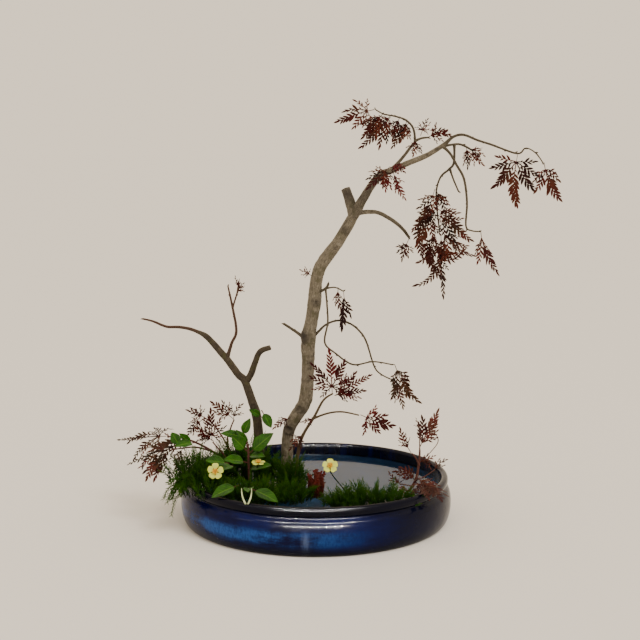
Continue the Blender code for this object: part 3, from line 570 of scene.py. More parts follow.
def sweptTube(tree, curve, sides):
    # the round section's place on its circle is kept as around
    inputs = {"Resolution": sides, "Radius": 1.0}
    circle = addNode(tree, "GeometryNodeCurvePrimitiveCircle", inputs).outputs[0]
    share = addNode(tree, "GeometryNodeSplineParameter").outputs["Factor"]
    circle = stored(tree, circle, "around", share)
    inputs = {"Curve": curve, "Profile Curve": circle, "Scale": named(tree, "thick"), "Fill Caps": True}
    return addNode(tree, "GeometryNodeCurveToMesh", inputs).outputs[0]


def makeStemTree():
    tree, given = newTree("stemTree", {"Sides": "Int", "Spacing": "Float", "Relief": "Float",
                                       "Grain": "Float", "Bark": "Material"})
    curve = evenCurve(tree, given["Geometry"], given["Spacing"])
    parameter = addNode(tree, "GeometryNodeSplineParameter")
    curve = stored(tree, curve, "along", parameter.outputs["Length"])
    curve = stored(tree, curve, "girth", named(tree, "thick"))
    mesh = sweptTube(tree, curve, given["Sides"])
    turn = times(tree, named(tree, "around"), 2 * math.pi)
    girth = named(tree, "girth")
    inputs = {"X": times(tree, maths(tree, "COSINE", turn), girth),
              "Y": times(tree, maths(tree, "SINE", turn), girth), "Z": named(tree, "along")}
    place = addNode(tree, "ShaderNodeCombineXYZ", inputs).outputs[0]
    tone = times(tree, named(tree, "tone"), 7.0)
    shift = addNode(tree, "ShaderNodeCombineXYZ", {"Z": tone}).outputs[0]
    place = addNode(tree, "ShaderNodeVectorMath", {0: place, 1: shift}, operation="ADD").outputs[0]
    mesh = stored(tree, mesh, "barkPlace", place, "FLOAT_VECTOR")
    ridges = noise(tree, stretched(tree, place, (1.0, 1.0, 0.22)), given["Grain"], 3.0)
    lumps = noise(tree, place, times(tree, given["Grain"], 0.22), 2.0)
    both = plus(tree, times(tree, ridges, 0.45), lumps)
    swing = times(tree, maths(tree, "SUBTRACT", both, 0.725), given["Relief"])
    swing = times(tree, swing, girth)
    normal = addNode(tree, "GeometryNodeInputNormal").outputs[0]
    offset = addNode(tree, "ShaderNodeVectorMath", {0: normal, "Scale": swing}, operation="SCALE").outputs[0]
    mesh = addNode(tree, "GeometryNodeSetPosition", {"Geometry": mesh, "Offset": offset}).outputs[0]
    mesh = addNode(tree, "GeometryNodeSetShadeSmooth", {0: mesh}).outputs[0]
    endTree(tree, mesh, given["Bark"])
    return tree


def makeFrondTree():
    # leaflets along every path: Turn about the rib from one to the next, lean and spread from the path
    tree, given = newTree("frondTree", {
        "Leaflet": "Object", "Spacing": "Float", "Turn": "Float", "Jitter": "Float", "Ribs": "Bool",
        "Seed": "Int", "Skin": "Material"})
    curve = evenCurve(tree, given["Geometry"], given["Spacing"])
    rib = sweptTube(tree, curve, 4)
    nothing = addNode(tree, "GeometryNodeJoinGeometry").outputs[0]
    rib = addNode(tree, "GeometryNodeSwitch", {0: given["Ribs"], 1: nothing, 2: rib},
                  input_type="GEOMETRY").outputs[0]
    spots = addNode(tree, "GeometryNodeCurveToPoints", {0: curve}, mode="EVALUATED")
    index = addNode(tree, "GeometryNodeInputIndex").outputs[0]

    def drawn(amount, shift):
        inputs = {2: times(tree, amount, -1.0), 3: amount, 8: plus(tree, given["Seed"], shift)}
        return addNode(tree, "FunctionNodeRandomValue", inputs, data_type="FLOAT").outputs[1]

    frameInputs = {0: spots.outputs["Tangent"], 1: named(tree, "face", "FLOAT_VECTOR")}
    rotation = addNode(tree, "FunctionNodeAxesToRotation", frameInputs, primary_axis="X",
                       secondary_axis="Z").outputs[0]
    roll = plus(tree, times(tree, index, given["Turn"]), drawn(given["Jitter"], 1.0))
    lean = plus(tree, named(tree, "lean"), drawn(times(tree, given["Jitter"], 0.4), 2.0))
    for angles in ({"X": roll}, {"Z": lean}):
        euler = addNode(tree, "ShaderNodeCombineXYZ", angles).outputs[0]
        step = addNode(tree, "FunctionNodeEulerToRotation", {0: euler}).outputs[0]
        rotation = addNode(tree, "FunctionNodeRotateRotation", {0: rotation, 1: step},
                           rotation_space="LOCAL").outputs[0]
    spread = named(tree, "spread")
    size = times(tree, spread, plus(tree, drawn(0.16, 3.0), 1.0))
    inputs = {0: spread, 1: smallestLeaflet}
    wanted = addNode(tree, "FunctionNodeCompare", inputs, operation="GREATER_THAN").outputs[0]
    leaflet = addNode(tree, "GeometryNodeObjectInfo", {0: given["Leaflet"]}).outputs["Geometry"]
    inputs = {"Points": spots.outputs[0], "Selection": wanted, "Instance": leaflet,
              "Rotation": rotation, "Scale": size}
    leaves = addNode(tree, "GeometryNodeInstanceOnPoints", inputs).outputs[0]
    join = addNode(tree, "GeometryNodeJoinGeometry", {0: leaves})
    tree.links.new(rib, join.inputs[0])
    endTree(tree, join.outputs[0], given["Skin"])
    return tree


def makePinTree():
    tree, given = newTree("pinTree", {"Height": "Float", "Radius": "Float", "Brass": "Material"})
    inputs = {"Vertices": 6, "Radius Top": times(tree, given["Radius"], 0.2),
              "Radius Bottom": given["Radius"], "Depth": given["Height"]}
    pin = addNode(tree, "GeometryNodeMeshCone", inputs).outputs[0]
    inputs = {"Points": given["Geometry"], "Instance": pin}
    pins = addNode(tree, "GeometryNodeInstanceOnPoints", inputs).outputs[0]
    endTree(tree, pins, given["Brass"])
    return tree


woodGrain = {  # sides of the tube, ring spacing, height and fineness of the bark
    "branch": {"Sides": 36, "Spacing": 0.0012, "Relief": 0.34, "Grain": 330.0},
    "twig": {"Sides": 10, "Spacing": 0.0012, "Relief": 0.3, "Grain": 900.0},
    "sprig": {"Sides": 12, "Spacing": 0.0015, "Relief": 0.25, "Grain": 700.0},
    "leafStalk": {"Sides": 8, "Spacing": 0.001, "Relief": 0.1, "Grain": 900.0},
    "flowerStem": {"Sides": 8, "Spacing": 0.002, "Relief": 0.12, "Grain": 800.0},
}
frondHabit = {  # distance between leaflets, turn from one to the next, how far they stray
    "buds": {"Spacing": 0.015, "Turn": math.pi, "Jitter": 0.8, "Ribs": False},
    "lace": {"Spacing": 0.0026, "Turn": math.pi, "Jitter": 0.3, "Ribs": True},
    "stamens": {"Spacing": 0.01, "Turn": 1.0, "Jitter": 0.1, "Ribs": True},
    "sepals": {"Spacing": 0.01, "Turn": 0.0, "Jitter": 0.05, "Ribs": True},
    "clubmoss": {"Spacing": 0.0011, "Turn": 2.2, "Jitter": 0.5, "Ribs": True},
    "tuft": {"Spacing": 0.0013, "Turn": 2.4, "Jitter": 0.6, "Ribs": True},
}


def grown(name, guide, tree, values):
    # the tree's inputs are set on a guide object, which then becomes a plain mesh
    modifier = guide.modifiers.new("grow", "NODES")
    modifier.node_group = tree
    for item in tree.interface.items_tree:
        if item.in_out == "INPUT" and item.name in values:
            modifier[item.identifier] = values[item.name]
    guide.name = name
    return settle(guide)


leafletShapes = {  # name, (along, half width) pairs, thickness and fold, for a length of one
    "lace": ("laceLeaflet", [(-0.05, 0.06), (0.22, 0.145), (0.5, 0.175), (0.78, 0.115), (1.0, 0.012)],
             0.045, 0.18),
    "needle": ("mossNeedle", [(0.0, 0.055), (0.5, 0.06), (1.0, 0.008)], 0.05, 0.2),
    "lance": ("lanceLeaflet", [(0.0, 0.1), (0.35, 0.19), (0.7, 0.13), (1.0, 0.01)], 0.045, 0.2),
    "bud": ("twigBud", [(0.0, 0.22), (0.3, 0.26), (0.7, 0.16), (1.0, 0.03)], 0.34, 0.0),
    "bead": ("smallBead", [(0.0, 0.18), (0.3, 0.32), (0.7, 0.3), (1.0, 0.12)], 0.42, 0.0),
}


def leafletObject(name, halfOutline, thickness, fold):
    # a thin closed blade one unit long, from (along, half width) pairs, lifted at its edges by fold
    upper, lower = [], []
    for along, half in halfOutline:
        row = [(along, side * half, fold * abs(side) * half) for side in (-1, 0, 1)]
        upper.append([(x, y, z + thickness / 2) for x, y, z in row])
        lower.append([(x, y, z - thickness / 2) for x, y, z in row])
    shape = bmesh.new()
    tops = [[shape.verts.new(point) for point in row] for row in upper]
    lows = [[shape.verts.new(point) for point in row] for row in lower]
    for first, second, firstLow, secondLow in zip(tops, tops[1:], lows, lows[1:]):
        for k in (0, 1):
            shape.faces.new((first[k], second[k], second[k + 1], first[k + 1]))
            shape.faces.new((firstLow[k], firstLow[k + 1], secondLow[k + 1], secondLow[k]))
        shape.faces.new((first[0], firstLow[0], secondLow[0], second[0]))
        shape.faces.new((first[2], second[2], secondLow[2], firstLow[2]))
    for k in (0, 1):
        shape.faces.new((tops[0][k], tops[0][k + 1], lows[0][k + 1], lows[0][k]))
        shape.faces.new((tops[-1][k], lows[-1][k], lows[-1][k + 1], tops[-1][k + 1]))
    bmesh.ops.recalc_face_normals(shape, faces=shape.faces)
    mesh = bpy.data.meshes.new(name)
    shape.to_mesh(mesh)
    shape.free()
    return linkObject(name, mesh)


# bowl, water and pin holders
bowl = {"steps": 192, "collar": 0.0038, "rimThick": 0.01, "shoulder": 0.0045}
pinHolder = {"pinHeight": 0.014, "pinRadius": 0.0006, "pitch": 0.0042, "margin": 0.004, "edge": 0.0012}


def makeBowl(material):
    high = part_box("bowl")[1]
    belly, top = high.x, high.z
    rim = belly - bowl["shoulder"]
    inner = rim - bowl["rimThick"]
    middle = (rim + inner) / 2
    profile = [
        (0.0, 0.008), (inner - 0.06, 0.008), (inner - 0.022, 0.008), (inner - 0.008, 0.0105),
        (inner - 0.0015, 0.018), (inner + 0.0005, 0.03), (inner, 0.042), (inner, 0.052),
        (inner + 0.0004, 0.06), (inner + 0.0018, top - 0.0012), (middle, top),
        (rim - 0.0018, top - 0.001), (rim - 0.0002, 0.0605), (rim, 0.057), (rim - 0.001, 0.0532),
        (rim - bowl["collar"], 0.0506),
        (rim - 0.0022, 0.0482), (belly - 0.003, 0.0446), (belly - 0.0008, 0.0375), (belly, 0.028),
        (belly - 0.0006, 0.019), (belly - 0.0022, 0.011), (belly - 0.0048, 0.0045),
        (belly - 0.0075, 0.0012), (belly - 0.0105, 0.0),
    ]
    smooth = [(max(radius, 0.0), max(height, 0.0)) for radius, height in smoothRoute(profile, 3)]
    smooth += [(belly - 0.04, 0.0), (0.0, 0.0)]
    smooth = [(min(radius, belly), min(height, top)) for radius, height in smooth]
    piece = turned("glazedBowl", smooth, bowl["steps"], material)
    glazed.objects.link(piece)
    return finishPiece(piece, "blue_glaze", "bowl")


def makeWaterPiece(material):
    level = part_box("water")[1].z
    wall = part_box("water")[1].x + 0.0014  # just into the glaze, so no air shows between them
    profile = [(0.0, level), (wall * 0.5, level), (wall - 0.004, level), (wall - 0.0012, level + 0.0002),
               (wall, level + 0.0006), (wall, 0.03), (wall - 0.002, 0.0165), (wall - 0.0085, 0.0095),
               (wall - 0.022, 0.0074), (0.0, 0.0074)]
    return finishPiece(turned("stillWater", profile, 128, material), "water", "water")


def makePinHolder(node, tree, lead, brass):
    low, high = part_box(node)
    x, y = (low.x + high.x) / 2, (low.y + high.y) / 2
    radius, top, edge = (high.x - low.x) / 2, high.z - pinHolder["pinHeight"], pinHolder["edge"]
    profile = [(0.0, top), (radius - edge * 3, top), (radius - edge * 2.6, top + 0.0008),
               (radius - edge, top + 0.0008), (radius - edge * 0.3, top - edge * 0.3), (radius, top - edge),
               (radius, low.z + edge), (radius - edge, low.z), (0.0, low.z)]
    base = turned(f"{pieceName(node)}Base", profile, 64, lead)
    base.data.transform(Matrix.Translation((x, y, 0.0)))
    pitch, places = pinHolder["pitch"], []
    rows = int(radius / pitch) + 1
    for row in range(-rows, rows + 1):
        for column in range(-rows, rows + 1):
            pinX, pinY = (column + 0.5 * (row % 2)) * pitch, row * pitch * math.sqrt(3) / 2
            if math.hypot(pinX, pinY) < radius - pinHolder["margin"]:
                places.append((x + pinX, y + pinY, top - 0.001))
    mesh = bpy.data.meshes.new("pinPlaces")
    mesh.from_pydata(places, [], [])
    pins = grown(f"{pieceName(node)}Pins", linkObject("pinPlaces", mesh), tree,
                 {"Height": pinHolder["pinHeight"], "Radius": pinHolder["pinRadius"], "Brass": brass})
    return finishPiece(joined(pieceName(node), [base, pins]), "lead", node)


# branches: every point is (x, y, z, radius)
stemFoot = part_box("large_kenzan")[1].z - 0.011
mainBranch = {
    "trunk": [
        (-0.046, 0.026, stemFoot, 0.0078), (-0.041, 0.029, 0.071, 0.0081),
        (-0.039, 0.028, 0.112, 0.0081), (-0.029, 0.026, 0.136, 0.0087), (-0.015, 0.024, 0.161, 0.0094),
        (-0.011, 0.02, 0.211, 0.0087), (-0.01, 0.018, 0.25, 0.01), (-0.006, 0.016, 0.274, 0.0086),
        (-0.002, 0.014, 0.302, 0.0091), (0.001, 0.012, 0.331, 0.0085), (0.009, 0.01, 0.354, 0.0085),
        (0.031, 0.006, 0.384, 0.0078), (0.055, 0.0, 0.426, 0.0067), (0.072, -0.006, 0.456, 0.0055),
        (0.087, -0.012, 0.474, 0.0047), (0.1, -0.016, 0.479, 0.0041), (0.119, -0.024, 0.488, 0.0038),
        (0.145, -0.034, 0.499, 0.0034), (0.167, -0.042, 0.513, 0.0028), (0.178, -0.05, 0.523, 0.0019),
        (0.191, -0.055, 0.526, 0.0017), (0.209, -0.062, 0.519, 0.0015), (0.227, -0.068, 0.513, 0.0014),
        (0.258, -0.078, 0.502, 0.0012), (0.268, -0.082, 0.509, 0.0009), (0.28, -0.086, 0.503, 0.0009),
        (0.289, -0.088, 0.491, 0.0008)],
    "limbs": {
        "cutStub": [(0.051, 0.002, 0.419, 0.0068), (0.045, 0.008, 0.44, 0.0064),
                    (0.04, 0.012, 0.454, 0.0062)],
        "crownTwig": [(0.098, -0.016, 0.478, 0.0024), (0.114, -0.006, 0.494, 0.0021),
                      (0.127, 0.004, 0.51, 0.0019), (0.133, 0.009, 0.518, 0.0017),
                      (0.131, 0.012, 0.535, 0.0015), (0.121, 0.01, 0.546, 0.0014),
                      (0.106, 0.003, 0.551, 0.0012), (0.09, -0.003, 0.554, 0.001),
                      (0.079, -0.004, 0.56, 0.0008)],
        "upperTwig": [(0.133, 0.009, 0.518, 0.0016), (0.142, 0.012, 0.522, 0.0015),
                      (0.151, 0.012, 0.523, 0.0013)],
        "middleArc": [(0.165, -0.041, 0.511, 0.0018), (0.176, -0.036, 0.513, 0.0016),
                      (0.189, -0.028, 0.514, 0.0015), (0.2, -0.022, 0.51, 0.0014),
                      (0.207, -0.018, 0.506, 0.0012)],
        "longHanger": [(0.165, -0.042, 0.512, 0.0019), (0.175, -0.047, 0.502, 0.0017),
                       (0.184, -0.051, 0.486, 0.0016), (0.193, -0.054, 0.469, 0.0016),
                       (0.197, -0.057, 0.439, 0.0014), (0.196, -0.058, 0.408, 0.0012),
                       (0.204, -0.058, 0.402, 0.001), (0.213, -0.058, 0.401, 0.0009)],
        "innerHanger": [(0.182, -0.032, 0.514, 0.0016), (0.182, -0.03, 0.49, 0.0016),
                        (0.176, -0.026, 0.481, 0.0015), (0.166, -0.018, 0.471, 0.0013),
                        (0.161, -0.012, 0.452, 0.0012), (0.163, -0.006, 0.425, 0.0011),
                        (0.167, -0.002, 0.398, 0.001)],
        "innerSpur": [(0.177, -0.027, 0.482, 0.0014), (0.182, -0.022, 0.469, 0.0012),
                      (0.19, -0.016, 0.452, 0.0011)],
        "lowerArm": [(0.053, 0.001, 0.422, 0.0034), (0.08, 0.01, 0.423, 0.0028),
                     (0.1, 0.018, 0.414, 0.0026), (0.117, 0.022, 0.401, 0.0023),
                     (0.128, 0.024, 0.387, 0.0019)],
        "leftSpur": [(-0.012, 0.018, 0.246, 0.0024), (-0.028, 0.024, 0.257, 0.002),
                     (-0.045, 0.032, 0.267, 0.0017)],
        "rightSpur": [(-0.004, 0.014, 0.309, 0.0021), (0.013, 0.006, 0.319, 0.0018),
                      (0.017, 0.004, 0.326, 0.0016)],
        "leafStalk": [(0.013, 0.006, 0.319, 0.0012), (0.026, 0.002, 0.321, 0.001),
                      (0.037, 0.0, 0.316, 0.0009)],
        "longLoop": [(0.013, 0.006, 0.32, 0.0014), (0.015, -0.001, 0.298, 0.0013),
                     (0.016, -0.008, 0.274, 0.0013), (0.012, -0.012, 0.247, 0.0013),
                     (0.027, -0.018, 0.233, 0.0012), (0.05, -0.024, 0.219, 0.0012),
                     (0.077, -0.03, 0.224, 0.001), (0.102, -0.036, 0.221, 0.0009)],
        "archedLoop": [(-0.008, 0.017, 0.246, 0.0021), (0.002, 0.014, 0.257, 0.0018),
                       (0.014, 0.01, 0.269, 0.0015), (0.03, 0.006, 0.275, 0.0014),
                       (0.045, 0.002, 0.272, 0.0014), (0.057, -0.002, 0.264, 0.0013),
                       (0.068, -0.006, 0.249, 0.0013), (0.079, -0.01, 0.215, 0.0011),
                       (0.088, -0.012, 0.204, 0.001), (0.102, -0.014, 0.197, 0.0009)],
    },
    "knots": [  # place on the bark, size, how far it stands out, how dark it is
        ((-0.018, 0.01, 0.252), 0.011, 0.0016, 1.0), ((-0.006, 0.008, 0.214), 0.007, 0.0008, 0.8),
        ((-0.038, 0.021, 0.12), 0.01, 0.002, 0.8), ((-0.022, 0.018, 0.15), 0.008, 0.0012, 0.7),
        ((0.0, 0.006, 0.3), 0.007, 0.001, 0.7), ((0.04, 0.0, 0.4), 0.008, 0.0011, 0.7),
        ((0.044, 0.006, 0.446), 0.017, 0.0, 0.85), ((0.07, -0.012, 0.45), 0.007, 0.0008, 0.7),
        ((0.054, -0.002, 0.428), 0.014, 0.0, 0.5), ((0.067, -0.006, 0.442), 0.013, 0.0, 0.6),
        ((0.083, -0.01, 0.46), 0.012, 0.0, 0.5)],
}
sideBranch = {
    "trunk": [
        (-0.078, 0.034, stemFoot, 0.0066), (-0.08, 0.039, 0.08, 0.007), (-0.083, 0.042, 0.128, 0.0067),
        (-0.092, 0.044, 0.16, 0.0058), (-0.101, 0.046, 0.184, 0.0055), (-0.11, 0.048, 0.193, 0.0052),
        (-0.125, 0.052, 0.213, 0.0049), (-0.137, 0.055, 0.226, 0.0047), (-0.154, 0.06, 0.244, 0.004),
        (-0.168, 0.064, 0.251, 0.0026), (-0.18, 0.066, 0.255, 0.0023), (-0.196, 0.07, 0.257, 0.0021),
        (-0.213, 0.074, 0.257, 0.0019), (-0.233, 0.079, 0.264, 0.0016), (-0.248, 0.083, 0.267, 0.0012)],
    "limbs": {
        "cutStub": [(-0.1, 0.046, 0.182, 0.0049), (-0.092, 0.044, 0.193, 0.0045),
                    (-0.085, 0.04, 0.212, 0.0042), (-0.078, 0.038, 0.227, 0.0039),
                    (-0.064, 0.036, 0.233, 0.0035)],
        "upright": [(-0.126, 0.052, 0.214, 0.0026), (-0.119, 0.05, 0.236, 0.0021),
                    (-0.112, 0.05, 0.255, 0.0019), (-0.118, 0.048, 0.293, 0.0016),
                    (-0.123, 0.046, 0.318, 0.001)],
        "budTwig": [(-0.117, 0.048, 0.287, 0.0013), (-0.111, 0.051, 0.306, 0.0012),
                    (-0.109, 0.054, 0.314, 0.0019), (-0.108, 0.055, 0.321, 0.001)],
    },
    "knots": [((-0.152, 0.056, 0.243), 0.005, 0.0007, 0.7), ((-0.088, 0.037, 0.15), 0.006, 0.0009, 0.6),
              ((-0.079, 0.035, 0.226), 0.004, 0.0006, 0.6)],
}
sprigs = {  # node: bark, slot, stem and its limbs
    "centre_sprig": ("youngGreen", "green_stem", [
        (-0.027, -0.004, stemFoot, 0.002), (-0.027, -0.01, 0.07, 0.0022), (-0.023, -0.013, 0.103, 0.0022),
        (-0.016, -0.015, 0.123, 0.002), (-0.003, -0.02, 0.145, 0.0018), (0.01, -0.025, 0.17, 0.0015),
        (0.023, -0.028, 0.18, 0.0012)], [
        [(-0.005, -0.019, 0.143, 0.0015), (0.015, -0.026, 0.152, 0.0013), (0.035, -0.034, 0.156, 0.0012),
         (0.058, -0.042, 0.153, 0.001)]]),
    "left_sprig": ("youngRed", "green_stem", [
        (-0.094, 0.01, stemFoot, 0.0019), (-0.112, 0.014, 0.06, 0.0019), (-0.138, 0.018, 0.084, 0.0017),
        (-0.165, 0.022, 0.099, 0.0015), (-0.188, 0.026, 0.106, 0.0013), (-0.209, 0.028, 0.108, 0.001)], [
        [(-0.146, 0.019, 0.089, 0.0013), (-0.166, 0.0, 0.099, 0.0012), (-0.182, -0.018, 0.102, 0.001),
         (-0.197, -0.028, 0.102, 0.0009)],
        [(-0.112, 0.014, 0.06, 0.0014), (-0.126, 0.006, 0.084, 0.0012), (-0.143, 0.002, 0.106, 0.001)],
        [(-0.113, 0.014, 0.062, 0.0014), (-0.124, 0.022, 0.1, 0.0012), (-0.119, 0.02, 0.122, 0.0011),
         (-0.114, 0.018, 0.134, 0.0009)],
        [(-0.123, 0.022, 0.095, 0.0011), (-0.142, 0.03, 0.122, 0.001), (-0.156, 0.034, 0.133, 0.0009)]]),
    "right_sprig": ("youngRed", "red_stem", [
        (0.098, -0.066, stemFoot, 0.0018), (0.118, -0.063, 0.045, 0.0018), (0.133, -0.061, 0.068, 0.0018),
        (0.138, -0.058, 0.092, 0.0016), (0.139, -0.056, 0.108, 0.0013)], [
        [(0.138, -0.059, 0.088, 0.0012), (0.134, -0.062, 0.098, 0.0011), (0.128, -0.064, 0.106, 0.0009)],
        [(0.132, -0.061, 0.066, 0.0012), (0.137, -0.074, 0.074, 0.001), (0.138, -0.084, 0.073, 0.0009)],
        [(0.139, -0.056, 0.107, 0.0008), (0.1404, -0.055, 0.1397, 0.0007), (0.156, -0.055, 0.134, 0.0006),
         (0.1634, -0.055, 0.1192, 0.0006), (0.1462, -0.055, 0.0973, 0.0005)],
        [(0.134, -0.06, 0.07, 0.0009), (0.144, -0.056, 0.071, 0.0008), (0.16, -0.05, 0.08, 0.0006)],
        [(0.131, -0.062, 0.06, 0.0009), (0.122, -0.066, 0.063, 0.0007), (0.111, -0.07, 0.066, 0.0006)]]),
    "leafy_shoot": ("youngRed", "red_stem", [
        (-0.08, -0.018, stemFoot, 0.0018), (-0.087, -0.036, 0.048, 0.0018), (-0.09, -0.044, 0.066, 0.0017),
        (-0.091, -0.042, 0.09, 0.0015), (-0.092, -0.04, 0.11, 0.0013),
        (-0.1, -0.036, 0.126, 0.001)], []),
}


budWood = {"thickest": 0.003, "size": 0.0036, "lean": 0.55, "seed": 5}  # buds sit on thin wood only
limbFoot = {"thickFlare": 0.12, "thinFlare": 0.55, "reach": 2.2}  # how a limb swells at its parent


def stemPath(points, tone, joins=False):
    # points, radii and tone of one stem
    route = smoothRoute(points, 6)
    start = Vector(route[0][:3])
    thick = []
    for x, y, z, radius in route:
        away = (Vector((x, y, z)) - start).length
        flare = limbFoot["thickFlare"] if points[0][3] > budWood["thickest"] else limbFoot["thinFlare"]
        swell = flare * math.exp(-away / (limbFoot["reach"] * points[0][3])) if joins else 0.0
        thick.append(radius * (1.0 + swell))
    return {"points": route, "thick": thick, "tone": tone}


def addKnots(piece, knots):
    mesh = piece.data
    count = len(mesh.vertices)
    places = np.zeros(count * 3, np.float32)
    normals = np.zeros(count * 3, np.float32)
    mesh.vertices.foreach_get("co", places)
    mesh.vertices.foreach_get("normal", normals)
    places, normals = places.reshape(-1, 3), normals.reshape(-1, 3)
    dark = np.zeros(count, np.float32)
    for place, size, rise, depth in knots:
        away = np.linalg.norm(places - np.array(place), axis=1) / size
        ring = np.exp(-((away - 0.55) / 0.28) ** 2) - 0.55 * np.exp(-(away / 0.35) ** 2)
        places += normals * (rise * ring * (away < 1.6))[:, None]
        dark = np.maximum(dark, depth * np.clip(1.15 - away, 0.0, 1.0) ** 0.7)
    mesh.vertices.foreach_set("co", places.ravel())
    mesh.attributes.new("knot", "FLOAT", "POINT").data.foreach_set("value", np.clip(dark, 0.0, 1.0))
    mesh.update()


def grownWood(name, paths, trees, kind, bark):
    return grown(name, pathObject("guide", paths), trees["stem"], {**woodGrain[kind], "Bark": bark})


def cutFace(name, centre, towards, radius, material):
    # a slightly domed saw cut that closes a stub
    profile = [(0.0, 0.0006), (radius * 0.55, 0.0005), (radius * 0.88, 0.0002), (radius * 0.97, -0.0006),
               (radius * 0.9, -0.002), (0.0, -0.002)]
    piece = turned(name, profile, 28, material)
    turn = Vector(towards).to_track_quat("Z", "Y").to_matrix().to_4x4()
    turn.translation = Vector(centre)
    piece.data.transform(turn)
    return piece


def makeBranch(node, plan, trees, leaflets, bark, endWood, slot):
    paths = [stemPath(plan["trunk"], 0.0)]
    paths += [stemPath(points, 0.1 + 0.13 * k, True) for k, points in enumerate(plan["limbs"].values())]
    thick = [path for path in paths if path["thick"][len(path["thick"]) // 2] > budWood["thickest"]]
    thin = [path for path in paths if path not in thick]
    name = pieceName(node)
    wood = [grownWood(f"{name}Wood", thick, trees, "branch", bark),
            grownWood(f"{name}Twigs", thin, trees, "twig", bark),
            grownBuds(f"{name}Buds", thin + paths[:1], trees["frond"], leaflets["bud"], bark)]
    before, end = plan["limbs"]["cutStub"][-2:]
    centre = Vector(end[:3])
    wood.append(cutFace(f"{name}Cut", centre, centre - Vector(before[:3]), end[3], endWood))
    for piece in wood:
        addKnots(piece, plan["knots"])
    return finishPiece(joined(name, wood), slot, node)


def grownBuds(name, paths, tree, bud, bark):
    # buds and leaf scars at the nodes of thin wood
    budPaths = []
    for path in paths:
        spread = [budWood["size"] if radius < budWood["thickest"] else 0.0 for radius in path["thick"]]
        spread[0] = 0.0
        budPaths.append({"points": path["points"], "spread": spread, "lean": budWood["lean"],
                         "tone": path["tone"], "thick": path["thick"]})
    return grown(name, pathObject("guide", budPaths), tree,
                 {**frondHabit["buds"], "Leaflet": bud, "Seed": budWood["seed"], "Skin": bark})


# lace-leaf maple leaves
laceLeaf = {"stalkRadius": 0.0005, "ribRadius": 0.00085, "tooth": 0.0108, "toothShare": 0.26,
            "droop": 0.16, "depth": 0.16, "hub": 0.007, "steps": 16}
leafStyles = {  # node: droop, curl and size of the teeth where they differ from the usual
    "cascade_leaf_1": (0.25, 0.3, 1.0), "cascade_leaf_2": (0.3, 0.35, 1.0),
    "cascade_leaf_3": (0.15, 0.15, 1.0), "cascade_leaf_4": (0.25, 0.4, 1.0),
    "cascade_leaf_5": (0.15, 0.65, 1.1), "cascade_leaf_6": (0.1, 0.8, 1.1),
    "far_leaf_1": (0.3, 0.25, 1.15), "far_leaf_2": (0.3, 0.2, 1.15),
    "left_leaf_1": (0.22, 0.22, 0.72), "left_leaf_2": (0.34, 0.42, 0.62),
    "centre_leaf_1": (0.0, 0.03, 1.05), "centre_leaf_2": (0.02, 0.05, 0.85),
    "centre_leaf_3": (0.2, 0.2, 1.25), "loop_leaf_1": (0.2, 0.3, 1.0),
    "star_leaf": (0.0, 0.05, 1.0), "right_leaf_1": (0.0, 0.1, 1.2), "right_leaf_2": (0.0, 0.1, 1.2),
    "high_leaf": (0.0, 0.1, 1.1), "folded_leaf": (0.1, 0.1, 1.4), "hanging_leaf": (0.1, 0.1, 1.3),
    "arm_leaf": (0.2, 0.2, 1.4),
}
wideLeaves = {  # base and tip of the leaves that are wider than they are long
    "far_leaf_1": ((0.258, -0.08, 0.5), (0.247, -0.088, 0.436)),
    "centre_leaf_1": ((0.022, -0.029, 0.182), (0.019, -0.046, 0.238)),
    "left_leaf_1": ((-0.211, 0.028, 0.108), (-0.286, 0.04, 0.104)),
    "star_leaf": ((-0.144, 0.002, 0.108), (-0.143, -0.008, 0.151)),
}
